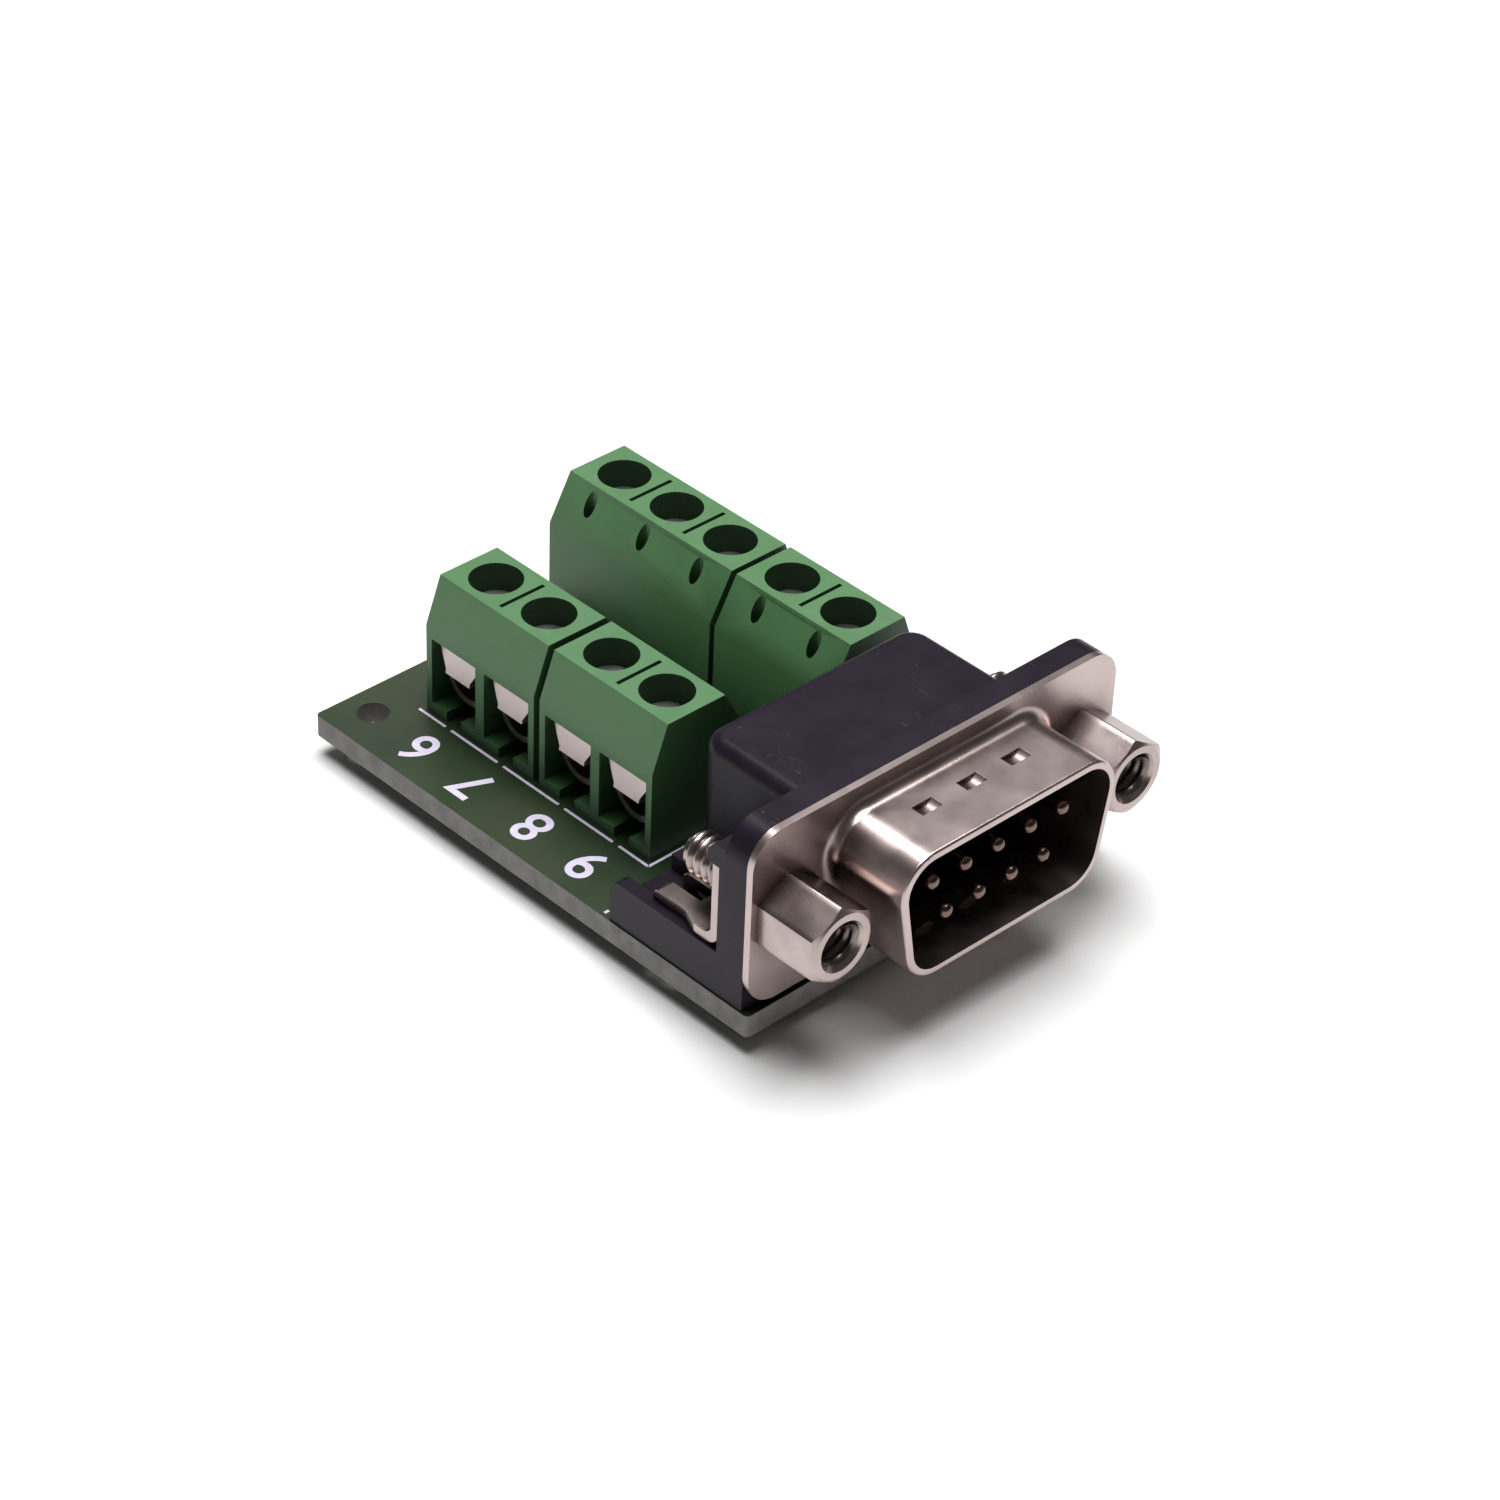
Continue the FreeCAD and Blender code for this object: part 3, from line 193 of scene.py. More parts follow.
def math_node(tree, operation, first, second=None):
    """A Math node; first and second are sockets or numbers."""
    node = tree.nodes.new("ShaderNodeMath")
    node.operation = operation
    for slot, source in zip(node.inputs, (first, second)):
        if isinstance(source, (int, float)):
            slot.default_value = source
        elif source is not None:
            tree.links.new(source, slot)
    return node.outputs[0]


def spread(tree, source, low, high, to_low=0.0, to_high=1.0):
    """Map a range of values onto another one, cut off at its ends."""
    node = tree.nodes.new("ShaderNodeMapRange")
    node.inputs["From Min"].default_value = low
    node.inputs["From Max"].default_value = high
    node.inputs["To Min"].default_value = to_low
    node.inputs["To Max"].default_value = to_high
    tree.links.new(source, node.inputs["Value"])
    return node.outputs["Result"]


print("helpers for groups:", [helper.__name__ for helper in (start_group, math_node, spread)])

# %% [markdown]
# Grain is the fine satin skin of a moulded part or of a plated sheet. It could be a picture, but
# noise has no seams and stays sharp at any distance. The group gives a height, and each material
# turns it into a slight bump of its own depth.

# %% Moulded grain
def moulded_grain():
    """A fine noise as a height."""
    group, entry, result = start_group("moulded_grain", [("Scale", 8000.0), ("Detail", 3.0)], ["Height"])
    place = group.nodes.new("ShaderNodeTexCoord")
    noise = group.nodes.new("ShaderNodeTexNoise")
    group.links.new(place.outputs["Object"], noise.inputs["Vector"])
    group.links.new(entry.outputs["Scale"], noise.inputs["Scale"])
    group.links.new(entry.outputs["Detail"], noise.inputs["Detail"])
    group.links.new(noise.outputs["Fac"], result.inputs["Height"])
    return group


GRAIN = moulded_grain()
print(GRAIN.name, [item.name for item in GRAIN.interface.items_tree])

# %% [markdown]
# Cloudiness is a slow change of tone over millimetres, as in pigment that mixed unevenly or plating
# that is a little thicker here and there. It is a wide soft noise round one half, with a contrast
# that each material sets.

# %% Cloudiness
def cloudiness():
    """A soft wide noise round one half, as a tone."""
    group, entry, result = start_group("cloudiness", [("Scale", 400.0), ("Contrast", 1.0)], ["Tone"])
    place = group.nodes.new("ShaderNodeTexCoord")
    noise = group.nodes.new("ShaderNodeTexNoise")
    noise.inputs["Detail"].default_value = 2.0
    group.links.new(place.outputs["Object"], noise.inputs["Vector"])
    group.links.new(entry.outputs["Scale"], noise.inputs["Scale"])
    centred = math_node(group, "SUBTRACT", noise.outputs["Fac"], 0.5)
    tone = math_node(group, "MULTIPLY", centred, entry.outputs["Contrast"])
    group.links.new(math_node(group, "ADD", tone, 0.5), result.inputs["Tone"])
    return group


CLOUDS = cloudiness()
print(CLOUDS.name, [item.name for item in CLOUDS.interface.items_tree])

# %% [markdown]
# Handling leaves thin pale lines and specks on dark plastic and faint ones on metal. A noise that
# is stretched one way gives scratches, two of them at different angles keep the marks from looking
# combed, and small cells give the specks. A wide noise then gathers them in patches, because an
# even spread would look like a texture.

# %% Scuffs
def scuffs():
    """Short fine scratches and pale specks, gathered in a few patches."""
    group, entry, result = start_group("scuffs", [("Amount", 0.5)], ["Mask"])
    place = group.nodes.new("ShaderNodeTexCoord")
    marks = None
    for turn_by, stretch in ((0.6, (700.0, 7200.0, 3600.0)), (-1.1, (6100.0, 640.0, 3300.0))):
        mapping = group.nodes.new("ShaderNodeMapping")
        mapping.inputs["Rotation"].default_value = (0.3, 0.2, turn_by)
        mapping.inputs["Scale"].default_value = stretch
        noise = group.nodes.new("ShaderNodeTexNoise")
        noise.inputs["Scale"].default_value = 1.0
        noise.inputs["Detail"].default_value = 1.0
        group.links.new(place.outputs["Object"], mapping.inputs["Vector"])
        group.links.new(mapping.outputs["Vector"], noise.inputs["Vector"])
        line = spread(group, noise.outputs["Fac"], 0.70, 0.78)
        marks = line if marks is None else math_node(group, "MAXIMUM", marks, line)
    specks = group.nodes.new("ShaderNodeTexVoronoi")
    specks.inputs["Scale"].default_value = 760.0
    group.links.new(place.outputs["Object"], specks.inputs["Vector"])
    marks = math_node(group, "MAXIMUM", marks, spread(group, specks.outputs["Distance"], 0.09, 0.04))
    patches = group.nodes.new("ShaderNodeTexNoise")
    patches.inputs["Scale"].default_value = 190.0
    group.links.new(place.outputs["Object"], patches.inputs["Vector"])
    marks = math_node(group, "MULTIPLY", marks, spread(group, patches.outputs["Fac"], 0.52, 0.62))
    group.links.new(math_node(group, "MULTIPLY", marks, entry.outputs["Amount"]), result.inputs["Mask"])
    return group


SCUFFS = scuffs()
print(SCUFFS.name, [item.name for item in SCUFFS.interface.items_tree])

# %% [markdown]
# Painted shade: where other surfaces stand close, in corners, wells and narrow gaps, the colour is
# darkened as if shade fell there. The Ambient Occlusion node measures that over a short reach. The
# group turns it into a mask, and each material says how far the reach goes and how much the mask counts.

# %% Painted shade in recesses
def recesses():
    """A mask of painted shade that grows where other surfaces stand closer than the reach."""
    group, entry, result = start_group("recesses", [("Reach", 2.0 * MM), ("Amount", 0.8)], ["Mask"])
    nearness = group.nodes.new("ShaderNodeAmbientOcclusion")
    nearness.samples = 8
    group.links.new(entry.outputs["Reach"], nearness.inputs["Distance"])
    shade_mask = spread(group, nearness.outputs["AO"], 0.95, 0.35)
    group.links.new(math_node(group, "MULTIPLY", shade_mask, entry.outputs["Amount"]), result.inputs["Mask"])
    return group


PAINTED_SHADE = recesses()
print("node groups:", [group.name for group in bpy.data.node_groups])

# %% [markdown]
# ## Finishes
#
# A material here is one shader with groups plugged into its sockets. Two helpers keep that short:
# one places a group with its numbers, and one mixes two colours by a mask. A plain Mix node could be
# set up by hand each time, but it holds hidden sockets for every data type, so the helper picks
# the ones for colour.

# %% Placing and mixing
def place_group(tree, group, **values):
    """Place a node group in a material, with numbers for its inputs."""
    node = tree.nodes.new("ShaderNodeGroup")
    node.node_tree = group
    for label, number in values.items():
        node.inputs[label.replace("_", " ").title()].default_value = number
    return node


def mixed(tree, amount, first, second):
    """A colour between two; each is a socket or a colour."""
    node = tree.nodes.new("ShaderNodeMix")
    node.data_type = "RGBA"
    if isinstance(amount, (int, float)):
        node.inputs["Factor"].default_value = amount
    else:
        tree.links.new(amount, node.inputs["Factor"])
    for label, colour in (("A", first), ("B", second)):
        socket = next(item for item in node.inputs if item.name == label and item.type == "RGBA")
        if isinstance(colour, tuple):
            socket.default_value = (*colour, 1)
        else:
            tree.links.new(colour, socket)
    return next(item for item in node.outputs if item.type == "RGBA")


print("helpers for materials:", [helper.__name__ for helper in (place_group, mixed)])

# %% [markdown]
# Every finish starts from the same few steps: a colour that drifts a little, a roughness that
# drifts with it, and a bump from the grain. One function makes those, and each finish then adds
# what is its own. The numbers on the shader's sockets say what the material is: nylon, glass-filled
# plastic, nickel, tin or ink.

# %% A finish with grain and drift
CLOUD_CONTRAST = 1.6


def grained_finish(name, dark, light, rough, rough_drift, grain_scale, grain_depth,
                   cloud_scale=400.0, metal=0.0):
    """A material whose colour drifts from dark to light and whose skin has a fine grain."""
    material = bpy.data.materials.new(name)
    material.use_nodes = True
    tree = material.node_tree
    shader = tree.nodes["Principled BSDF"]
    shader.inputs["Metallic"].default_value = metal
    shader.inputs["IOR"].default_value = 1.5
    clouds = place_group(tree, CLOUDS, scale=cloud_scale, contrast=CLOUD_CONTRAST)
    colour = mixed(tree, clouds.outputs["Tone"], dark, light)
    tree.links.new(colour, shader.inputs["Base Color"])
    drift = spread(tree, clouds.outputs["Tone"], 0, 1, rough - rough_drift, rough + rough_drift)
    tree.links.new(drift, shader.inputs["Roughness"])
    grain = place_group(tree, GRAIN, scale=grain_scale)
    bump = tree.nodes.new("ShaderNodeBump")
    bump.inputs["Strength"].default_value = 1.0
    bump.inputs["Distance"].default_value = grain_depth
    tree.links.new(grain.outputs["Height"], bump.inputs["Height"])
    tree.links.new(bump.outputs["Normal"], shader.inputs["Normal"])
    return material


print("cloud contrast", CLOUD_CONTRAST)

# %% [markdown]
# Three plastics: the green nylon of the terminals, the black housing of the plug, and the insulator
# inside the shroud, whose deeper black is painted shade. Black plastic in a studio shows its gloss more
# than its colour, so the black ones reflect less than the usual plastic. Scuffs lie on the outer two.

# %% Plastics
GREEN = grained_finish("green_nylon", (0.066, 0.168, 0.065), (0.080, 0.192, 0.078),
                       rough=0.46, rough_drift=0.05, grain_scale=9000.0, grain_depth=6e-6)
BLACK = grained_finish("black_plastic", (0.0095, 0.0060, 0.0120), (0.0160, 0.0110, 0.0195),
                       rough=0.36, rough_drift=0.06, grain_scale=5200.0, grain_depth=4e-6)
# The insulator is a darker copy of the black plastic: its near-black colour is painted shade.
SHADED_INSULATOR_BLACK = grained_finish("insulator_painted_shade", (0.0020, 0.0012, 0.0014), (0.0040, 0.0026, 0.0030),
                                 rough=0.48, rough_drift=0.06, grain_scale=5200.0, grain_depth=4e-6)


SCUFF_ROUGHNESS = 0.35


def add_scuffs(material, amount, pale):
    """Lay pale marks over the material's colour and make them rougher than the rest."""
    tree = material.node_tree
    shader = tree.nodes["Principled BSDF"]
    marks = place_group(tree, SCUFFS, amount=amount).outputs["Mask"]
    below = shader.inputs["Base Color"].links[0].from_socket
    tree.links.new(mixed(tree, marks, below, pale), shader.inputs["Base Color"])
    smooth = shader.inputs["Roughness"].links[0].from_socket
    rougher = math_node(tree, "ADD", smooth, math_node(tree, "MULTIPLY", marks, SCUFF_ROUGHNESS))
    tree.links.new(rougher, shader.inputs["Roughness"])


for plastic, sheen in ((BLACK, 0.17), (SHADED_INSULATOR_BLACK, 0.05)):
    plastic.node_tree.nodes["Principled BSDF"].inputs["Specular IOR Level"].default_value = sheen
add_scuffs(BLACK, 0.50, (0.10, 0.085, 0.11))
add_scuffs(GREEN, 0.20, (0.20, 0.34, 0.20))
print("plastics:", [plastic.name for plastic in (GREEN, BLACK, SHADED_INSULATOR_BLACK)])

# %% [markdown]
# The shell and the jackscrews are nickel plated, the leaves and cages are tinned and the screws are
# zinc plated. The contacts stand in deep shade, and their dark colour is painted shade. All share one
# recipe with Metallic at 1, and differ in warmth and in how blurred their reflections are. The bores
# have a darker nickel, which is painted shade inside the tapped hole, and solder is the palest of them.

# %% Metals
NICKEL = grained_finish("nickel_plate", (0.45, 0.370, 0.350), (0.56, 0.465, 0.445),
                        rough=0.30, rough_drift=0.06, grain_scale=2600.0, grain_depth=3e-6, metal=1.0)
JACK_NICKEL = grained_finish("turned_nickel", (0.37, 0.300, 0.284), (0.52, 0.435, 0.416),
                             rough=0.27, rough_drift=0.06, grain_scale=5200.0, grain_depth=3e-6, metal=1.0)
TIN = grained_finish("tinned_steel", (0.49, 0.420, 0.410), (0.60, 0.520, 0.505),
                     rough=0.36, rough_drift=0.08, grain_scale=7000.0, grain_depth=5e-6, metal=1.0)
CAGE_TIN = grained_finish("cage_plate", (0.30, 0.27, 0.24), (0.44, 0.39, 0.35),
                          rough=0.34, rough_drift=0.08, grain_scale=7000.0, grain_depth=5e-6, metal=1.0)
# Painted shade: a darker copy of the turned nickel for the inside of the bores.
SHADED_BORE_NICKEL = grained_finish("shaded_bore_nickel", (0.16, 0.13, 0.12), (0.24, 0.20, 0.19),
                             rough=0.30, rough_drift=0.06, grain_scale=5200.0, grain_depth=3e-6, metal=1.0)
SCREW_ZINC = grained_finish("zinc_screw", (0.36, 0.36, 0.37), (0.50, 0.50, 0.51),
                            rough=0.38, rough_drift=0.08, grain_scale=6000.0, grain_depth=5e-6, metal=1.0)
# Painted shade: the contacts' plate is drawn much darker than their metal.
SHADED_CONTACT = grained_finish("shaded_contact_plate", (0.13, 0.085, 0.07), (0.22, 0.155, 0.13),
                         rough=0.24, rough_drift=0.05, grain_scale=6000.0, grain_depth=3e-6, metal=1.0)
SOLDER = grained_finish("solder", (0.58, 0.57, 0.56), (0.74, 0.73, 0.72),
                        rough=0.28, rough_drift=0.10, grain_scale=4200.0, grain_depth=9e-6, metal=1.0)
add_scuffs(NICKEL, 0.14, (0.30, 0.25, 0.23))
add_scuffs(JACK_NICKEL, 0.10, (0.30, 0.25, 0.23))
add_scuffs(TIN, 0.30, (0.42, 0.36, 0.34))
METALS = (NICKEL, JACK_NICKEL, SHADED_BORE_NICKEL, TIN, CAGE_TIN, SCREW_ZINC, SHADED_CONTACT, SOLDER)
print("metals:", [metal.name for metal in METALS])

# %% [markdown]
# The recess mask paints shade and dark brown reflections into the nickel's corners, and paints
# shade onto the screws deep in their wells. The nylon gets the same painted shade with a longer
# reach: its wells, openings and gaps turn a deep, dull green.

# %% Painted shade in corners and recesses
def add_recess_tone(material, amount, tone, reach):
    """Paint shade: draw the colour towards tone where other surfaces stand closer than reach."""
    tree = material.node_tree
    shader = tree.nodes["Principled BSDF"]
    shade_mask = place_group(tree, PAINTED_SHADE, reach=reach, amount=amount).outputs["Mask"]
    below = shader.inputs["Base Color"].links[0].from_socket
    tree.links.new(mixed(tree, shade_mask, below, tone), shader.inputs["Base Color"])


# Painted shade and dark reflections: the plated metals turn dark brown or grey in corners and wells.
add_recess_tone(NICKEL, 0.85, (0.070, 0.040, 0.032), 2.2 * MM)
add_recess_tone(JACK_NICKEL, 0.75, (0.080, 0.048, 0.040), 2.2 * MM)
add_recess_tone(SCREW_ZINC, 0.50, (0.060, 0.060, 0.062), 3.0 * MM)
# Painted shade: the nylon and the black housing darken in wells, openings, gaps and beside other parts.
add_recess_tone(GREEN, 0.84, (0.009, 0.038, 0.009), 6.0 * MM)
add_recess_tone(BLACK, 0.80, (0.003, 0.001, 0.004), 4.0 * MM)
print("tone in corners and recesses")

# %% [markdown]
# ## Circuit board finishes
#
# The board is glass cloth and resin under a green lacquer. The lacquer is glossy and thin, so the
# laminate shows through it in brownish clouds. The sawn edges have no lacquer: they are matt, grey
# and mottled. The ink is a matt white that looks a little violet beside the green, and the tracks
# show through the lacquer as a lighter green.

# %% Board lacquer, edge, ink and tracks
LACQUER = grained_finish("board_lacquer", (0.010, 0.028, 0.012), (0.036, 0.050, 0.023),
                         rough=0.30, rough_drift=0.05, grain_scale=3000.0, grain_depth=4e-6,
                         cloud_scale=130.0)
BOARD_EDGE = grained_finish("board_edge", (0.13, 0.125, 0.115), (0.26, 0.25, 0.235),
                            rough=0.78, rough_drift=0.08, grain_scale=5000.0, grain_depth=2.5e-5,
                            cloud_scale=900.0)
INK = grained_finish("white_ink", (0.50, 0.45, 0.58), (0.62, 0.57, 0.70),
                     rough=0.62, rough_drift=0.06, grain_scale=6500.0, grain_depth=8e-6,
                     cloud_scale=1500.0)
COPPER_UNDER = grained_finish("lacquered_track", (0.030, 0.075, 0.030), (0.050, 0.105, 0.042),
                              rough=0.30, rough_drift=0.05, grain_scale=3000.0, grain_depth=4e-6)
# Painted shade: the lacquer darkens where the housings and the plug stand close to it.
add_recess_tone(LACQUER, 0.90, (0.003, 0.009, 0.003), 3.5 * MM)
print("finishes:", sorted(material.name for material in bpy.data.materials))

# %% [markdown]
# ## Helpers that turn a shape into a piece
#
# A finished piece is a mesh with its place in its vertices, a finish, and a body that it rides on.
# Curved faces are shaded smooth, and edges that are sharper than a given angle stay crisp.

# %% A piece from a shape
def settle(name, shape, finish, body="adapter", sharp=35):
    """Make the bmesh a piece that rides on a body."""
    mesh = bpy.data.meshes.new(name)
    shape.to_mesh(mesh)
    shape.free()
    mesh.materials.append(finish)
    mesh.shade_smooth()
    mesh.set_sharp_from_angle(angle=math.radians(sharp))
    piece = bpy.data.objects.new(name, mesh)
    bpy.context.scene.collection.objects.link(piece)
    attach(piece, body)
    return piece


# %% [markdown]
# Some pieces keep the solid's form and only need softer edges. The solid comes as loose triangles,
# and a bevel needs to know which edges are real, so they are first merged back to plain faces. The
# bevel is a modifier, so the mesh itself stays plain and the width can still be changed.

# %% A solid with soft edges
MERGE_DISTANCE = 0.8e-6
FLAT_ANGLE = math.radians(0.8)


def merged_solid(node):
    """The node's form as a bmesh of plain faces, without its loose triangles."""
    mesh = nodes[node].data.copy()
    if "custom_normal" in mesh.attributes:
        mesh.attributes.remove(mesh.attributes["custom_normal"])
    shape = bmesh.new()
    shape.from_mesh(mesh)
    bpy.data.meshes.remove(mesh)
    bmesh.ops.remove_doubles(shape, verts=shape.verts, dist=MERGE_DISTANCE)
    bmesh.ops.dissolve_limit(shape, angle_limit=FLAT_ANGLE, use_dissolve_boundaries=False,
                             verts=shape.verts, edges=shape.edges, delimit=set())
    return shape


def soft_edged(node, name, finish, width, body="adapter", limit=32, segments=2):
    """A piece with the node's form and small rounded edges, which stands for the node."""
    piece = settle(name, merged_solid(node), finish, body, sharp=180)
    rounding = piece.modifiers.new("rounded_edges", "BEVEL")
    rounding.width = width
    rounding.segments = segments
    rounding.limit_method = "ANGLE"
    rounding.angle_limit = math.radians(limit)
    rounding.harden_normals = True
    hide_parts(node)
    return piece


print(f"edges under {math.degrees(FLAT_ANGLE):.1f} degrees are merged away")

# %% [markdown]
# ## Terminal housings
#
# The housings are moulded nylon. Their edges look sharp but are rounded by less than a tenth of a
# millimetre, and that is what draws a thin light line along each of them. The form is the solid's
# own, with a narrow bevel added.

# %% Terminal housings
HOUSINGS = ("1_3", "4_5", "6_7", "8_9")
for block in HOUSINGS:
    piece = soft_edged(f"terminal_housing_{block}", f"housing_{block}", GREEN, 0.07 * MM)
    print(piece.name, len(piece.data.polygons), "plain faces")

# %% [markdown]
# ## Plug housing, shell, board locks and wire leaves
#
# The black housing behind the flange, the drawn shell and the folded metal parts are treated the
# same way. Punched sheet has a slightly rounded rim on the side where the punch went in, so a bevel
# suits it too. Each leaf rides on its own body, because it moves with its screw.

# %% Plug housing, shell, locks and leaves
soft_edged("dsub_hood", "plug_housing", BLACK, 0.10 * MM)
soft_edged("dsub_shell", "shell_plate", NICKEL, 0.10 * MM, limit=30, segments=3)
for side in ("left", "right"):
    soft_edged(f"board_lock_{side}", f"lock_{side}", JACK_NICKEL, 0.08 * MM)
for number in POLES:
    soft_edged(f"wire_leaf_{number}", f"leaf_{number}_plate", TIN, 0.05 * MM, f"leaf_{number}")
print("housing, shell, two locks and nine leaves")

# %% [markdown]
# ## Circuit board
#
# One mesh with two finishes: lacquer on the broad faces and bare laminate on every face that was
# cut, which are the outline and the holes. Which face is which can be told from its normal.

# %% Circuit board
board = soft_edged("circuit_board", "board", LACQUER, 0.05 * MM)
board.data.materials.append(BOARD_EDGE)
for face in board.data.polygons:
    face.material_index = 0 if abs(face.normal.z) > 0.5 else 1
print("board faces", len(board.data.polygons))

# %% [markdown]
# ## Ink on the board
#
# The white legend is screen printed: an outline round each row of terminals, broken where the slot
# under each clamp meets the board, and the number of each terminal. It could be a mask in the
# board's material, but the ink has a real thickness of about 20 micrometres, so it is modelled as
# thin plates. Two helpers make one plate and one row's outline.

# %% Ink helpers
INK_THICKNESS = 0.02 * MM
INK_LEVEL = BOARD_TOP + INK_THICKNESS / 2
INK_WIDTH = 0.2 * MM
NOTCH_GAP = 0.28 * MM


def ink_plate(shape, low, high):
    """A thin plate between two corners, given as x and y."""
    size = Vector((high[0] - low[0], high[1] - low[1], INK_THICKNESS))
    centre = Vector(((low[0] + high[0]) / 2, (low[1] + high[1]) / 2, INK_LEVEL))
    bmesh.ops.create_cube(shape, size=1, matrix=Matrix.Translation(centre) @ Matrix.Diagonal((*size, 1)))


def outline_lines(poles, line_x, inner_x, rear_y, front_y, returns):
    """An outline along one row, open at each clamp's slot, with returns at the given ends."""
    shape = bmesh.new()
    left, right = line_x - INK_WIDTH / 2, line_x + INK_WIDTH / 2
    stops = [rear_y]
    for number in poles:
        stops += [pole_axis[number].y + NOTCH_GAP, pole_axis[number].y - NOTCH_GAP]
    stops.append(front_y)
    for upper, lower in zip(stops[0::2], stops[1::2]):
        ink_plate(shape, (left, lower), (right, upper))
    for level in returns:
        ink_plate(shape, (min(line_x, inner_x), level - INK_WIDTH / 2),
                  (max(line_x, inner_x), level + INK_WIDTH / 2))
    return shape


print(f"ink {INK_THICKNESS / MM} mm thick, lines {INK_WIDTH / MM} mm wide")

# %% [markdown]
# The near outline turns in at its front end only, and a small tick stands beside the plug's rail.
# The far outline turns in at both ends. Their places along the board are measured from the
# flange's face.

# %% Ink lines
LINE_GAP = 0.45 * MM
RETURN_REACH = 0.3 * MM
NEAR_REAR, NEAR_FRONT = FACE_Y + 36.38 * MM, FACE_Y + 14.45 * MM
FAR_REAR, FAR_FRONT = FACE_Y + 40.14 * MM, FACE_Y + 13.3 * MM
TICK_CORNERS = (-15.2 * MM, FACE_Y + 12.7 * MM), (-14.85 * MM, FACE_Y + 12.9 * MM)
near_low, near_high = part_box("terminal_housing_6_7")
far_low, far_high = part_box("terminal_housing_1_3")
NEAR_LINE_X, FAR_LINE_X = near_low.x - LINE_GAP, far_high.x + LINE_GAP
near_ink = outline_lines(NEAR_POLES, NEAR_LINE_X, near_high.x + RETURN_REACH, NEAR_REAR, NEAR_FRONT,
                         (NEAR_FRONT,))
ink_plate(near_ink, *TICK_CORNERS)
settle("ink_outline_near", near_ink, INK)
far_ink = outline_lines(FAR_POLES, FAR_LINE_X, far_low.x - RETURN_REACH, FAR_REAR, FAR_FRONT,
                        (FAR_REAR, FAR_FRONT))
settle("ink_outline_far", far_ink, INK)
print(f"near outline at x {NEAR_LINE_X / MM:.2f} mm")

# %% [markdown]
# Each number starts as a text object, because a font already holds the digits. The text gets the
# ink's thickness, is made a mesh, and is centred on its own outline. The font's 1 is a bare stroke,
# so a small plate gives it its flag. The flag's place and size are shares of the number's height.

# %% Digit shapes
GLYPH_SHARE = 0.70
STROKE_GAIN = 0.045 * MM
FLAG_PLACE = (-0.16, 0.42)
FLAG_SIZE = (0.34, 0.13)
FLAG_TURN = math.radians(35)


def digit_shape(number, height):
    """A digit as thick as the ink, with its middle at the origin."""
    words = bpy.data.curves.new(f"ink_number_{number}", "FONT")
    words.body = str(number)
    words.size = height / GLYPH_SHARE
    words.offset = STROKE_GAIN
    words.extrude = INK_THICKNESS / 2
    words.resolution_u = 6
    holder = bpy.data.objects.new("ink_digit_source", words)
    bpy.context.scene.collection.objects.link(holder)
    bpy.context.view_layer.update()
    mesh = bpy.data.meshes.new_from_object(holder.evaluated_get(bpy.context.evaluated_depsgraph_get()))
    bpy.data.objects.remove(holder)
    shape = bmesh.new()
    shape.from_mesh(mesh)
    bpy.data.meshes.remove(mesh)
    xs = [vert.co.x for vert in shape.verts]
    ys = [vert.co.y for vert in shape.verts]
    centre = Vector(((min(xs) + max(xs)) / 2, (min(ys) + max(ys)) / 2, 0))
    bmesh.ops.translate(shape, verts=shape.verts, vec=-centre)
    if number == 1:
        move = Matrix.Translation((FLAG_PLACE[0] * height, FLAG_PLACE[1] * height, 0))
        tilt = Matrix.Rotation(FLAG_TURN, 4, "Z")
        grow = Matrix.Diagonal((FLAG_SIZE[0] * height, FLAG_SIZE[1] * height, INK_THICKNESS, 1))
        bmesh.ops.create_cube(shape, size=1, matrix=move @ tilt @ grow)
    return shape


print(f"the flag of the 1 leans by {math.degrees(FLAG_TURN):.0f} degrees")

# %% [markdown]
# Every number stands beside its terminal and is turned to read from that side of the board. The
# near ones are a little larger than the far ones.

# %% Ink numbers
NEAR_NUMBER_HEIGHT, FAR_NUMBER_HEIGHT = 2.9 * MM, 2.4 * MM
NEAR_NUMBER_X, FAR_NUMBER_X = -12.9 * MM, 13.95 * MM
NUMBER_SHIFT = -0.4 * MM


def ink_number(number, x, y, turned, height):
    """A printed digit with its middle at x, y."""
    shape = digit_shape(number, height)
    turn_round = Matrix.Rotation(math.radians(turned), 3, "Z")
    bmesh.ops.rotate(shape, verts=shape.verts, cent=(0, 0, 0), matrix=turn_round)
    bmesh.ops.translate(shape, verts=shape.verts, vec=(x, y, INK_LEVEL))
    settle(f"ink_number_{number}", shape, INK)


for number in NEAR_POLES:
    ink_number(number, NEAR_NUMBER_X, pole_axis[number].y + NUMBER_SHIFT, 90, NEAR_NUMBER_HEIGHT)
for number in FAR_POLES:
    ink_number(number, FAR_NUMBER_X, pole_axis[number].y - NUMBER_SHIFT, -90, FAR_NUMBER_HEIGHT)
print("numbers", *FAR_POLES, "and", *NEAR_POLES)

# %% [markdown]
# ## Jackscrews
#
# A jackscrew is turned from hexagonal bar. The lathe takes the corners off its front end, so each
# flat ends in a curve. Two small functions say where that curve runs: the distance of the hexagon
# from its axis at any angle, and the point where the lathe's cone meets it.

# %% Jackscrew sizes
FLATS = 4.76 * MM
CORNER = FLATS / (2 * math.cos(math.radians(30)))
CORNER_WEAR = 0.985
HEAD = 4.7 * MM
FRONT_RADIUS = 0.47 * FLATS
FRONT_LEAN = math.tan(math.radians(30))
MOUTH_RADIUS = 1.75 * MM
THREAD_RADIUS = 1.42 * MM
SINK_DEPTH = 0.36 * MM
BORE_DEPTH = 4.2 * MM


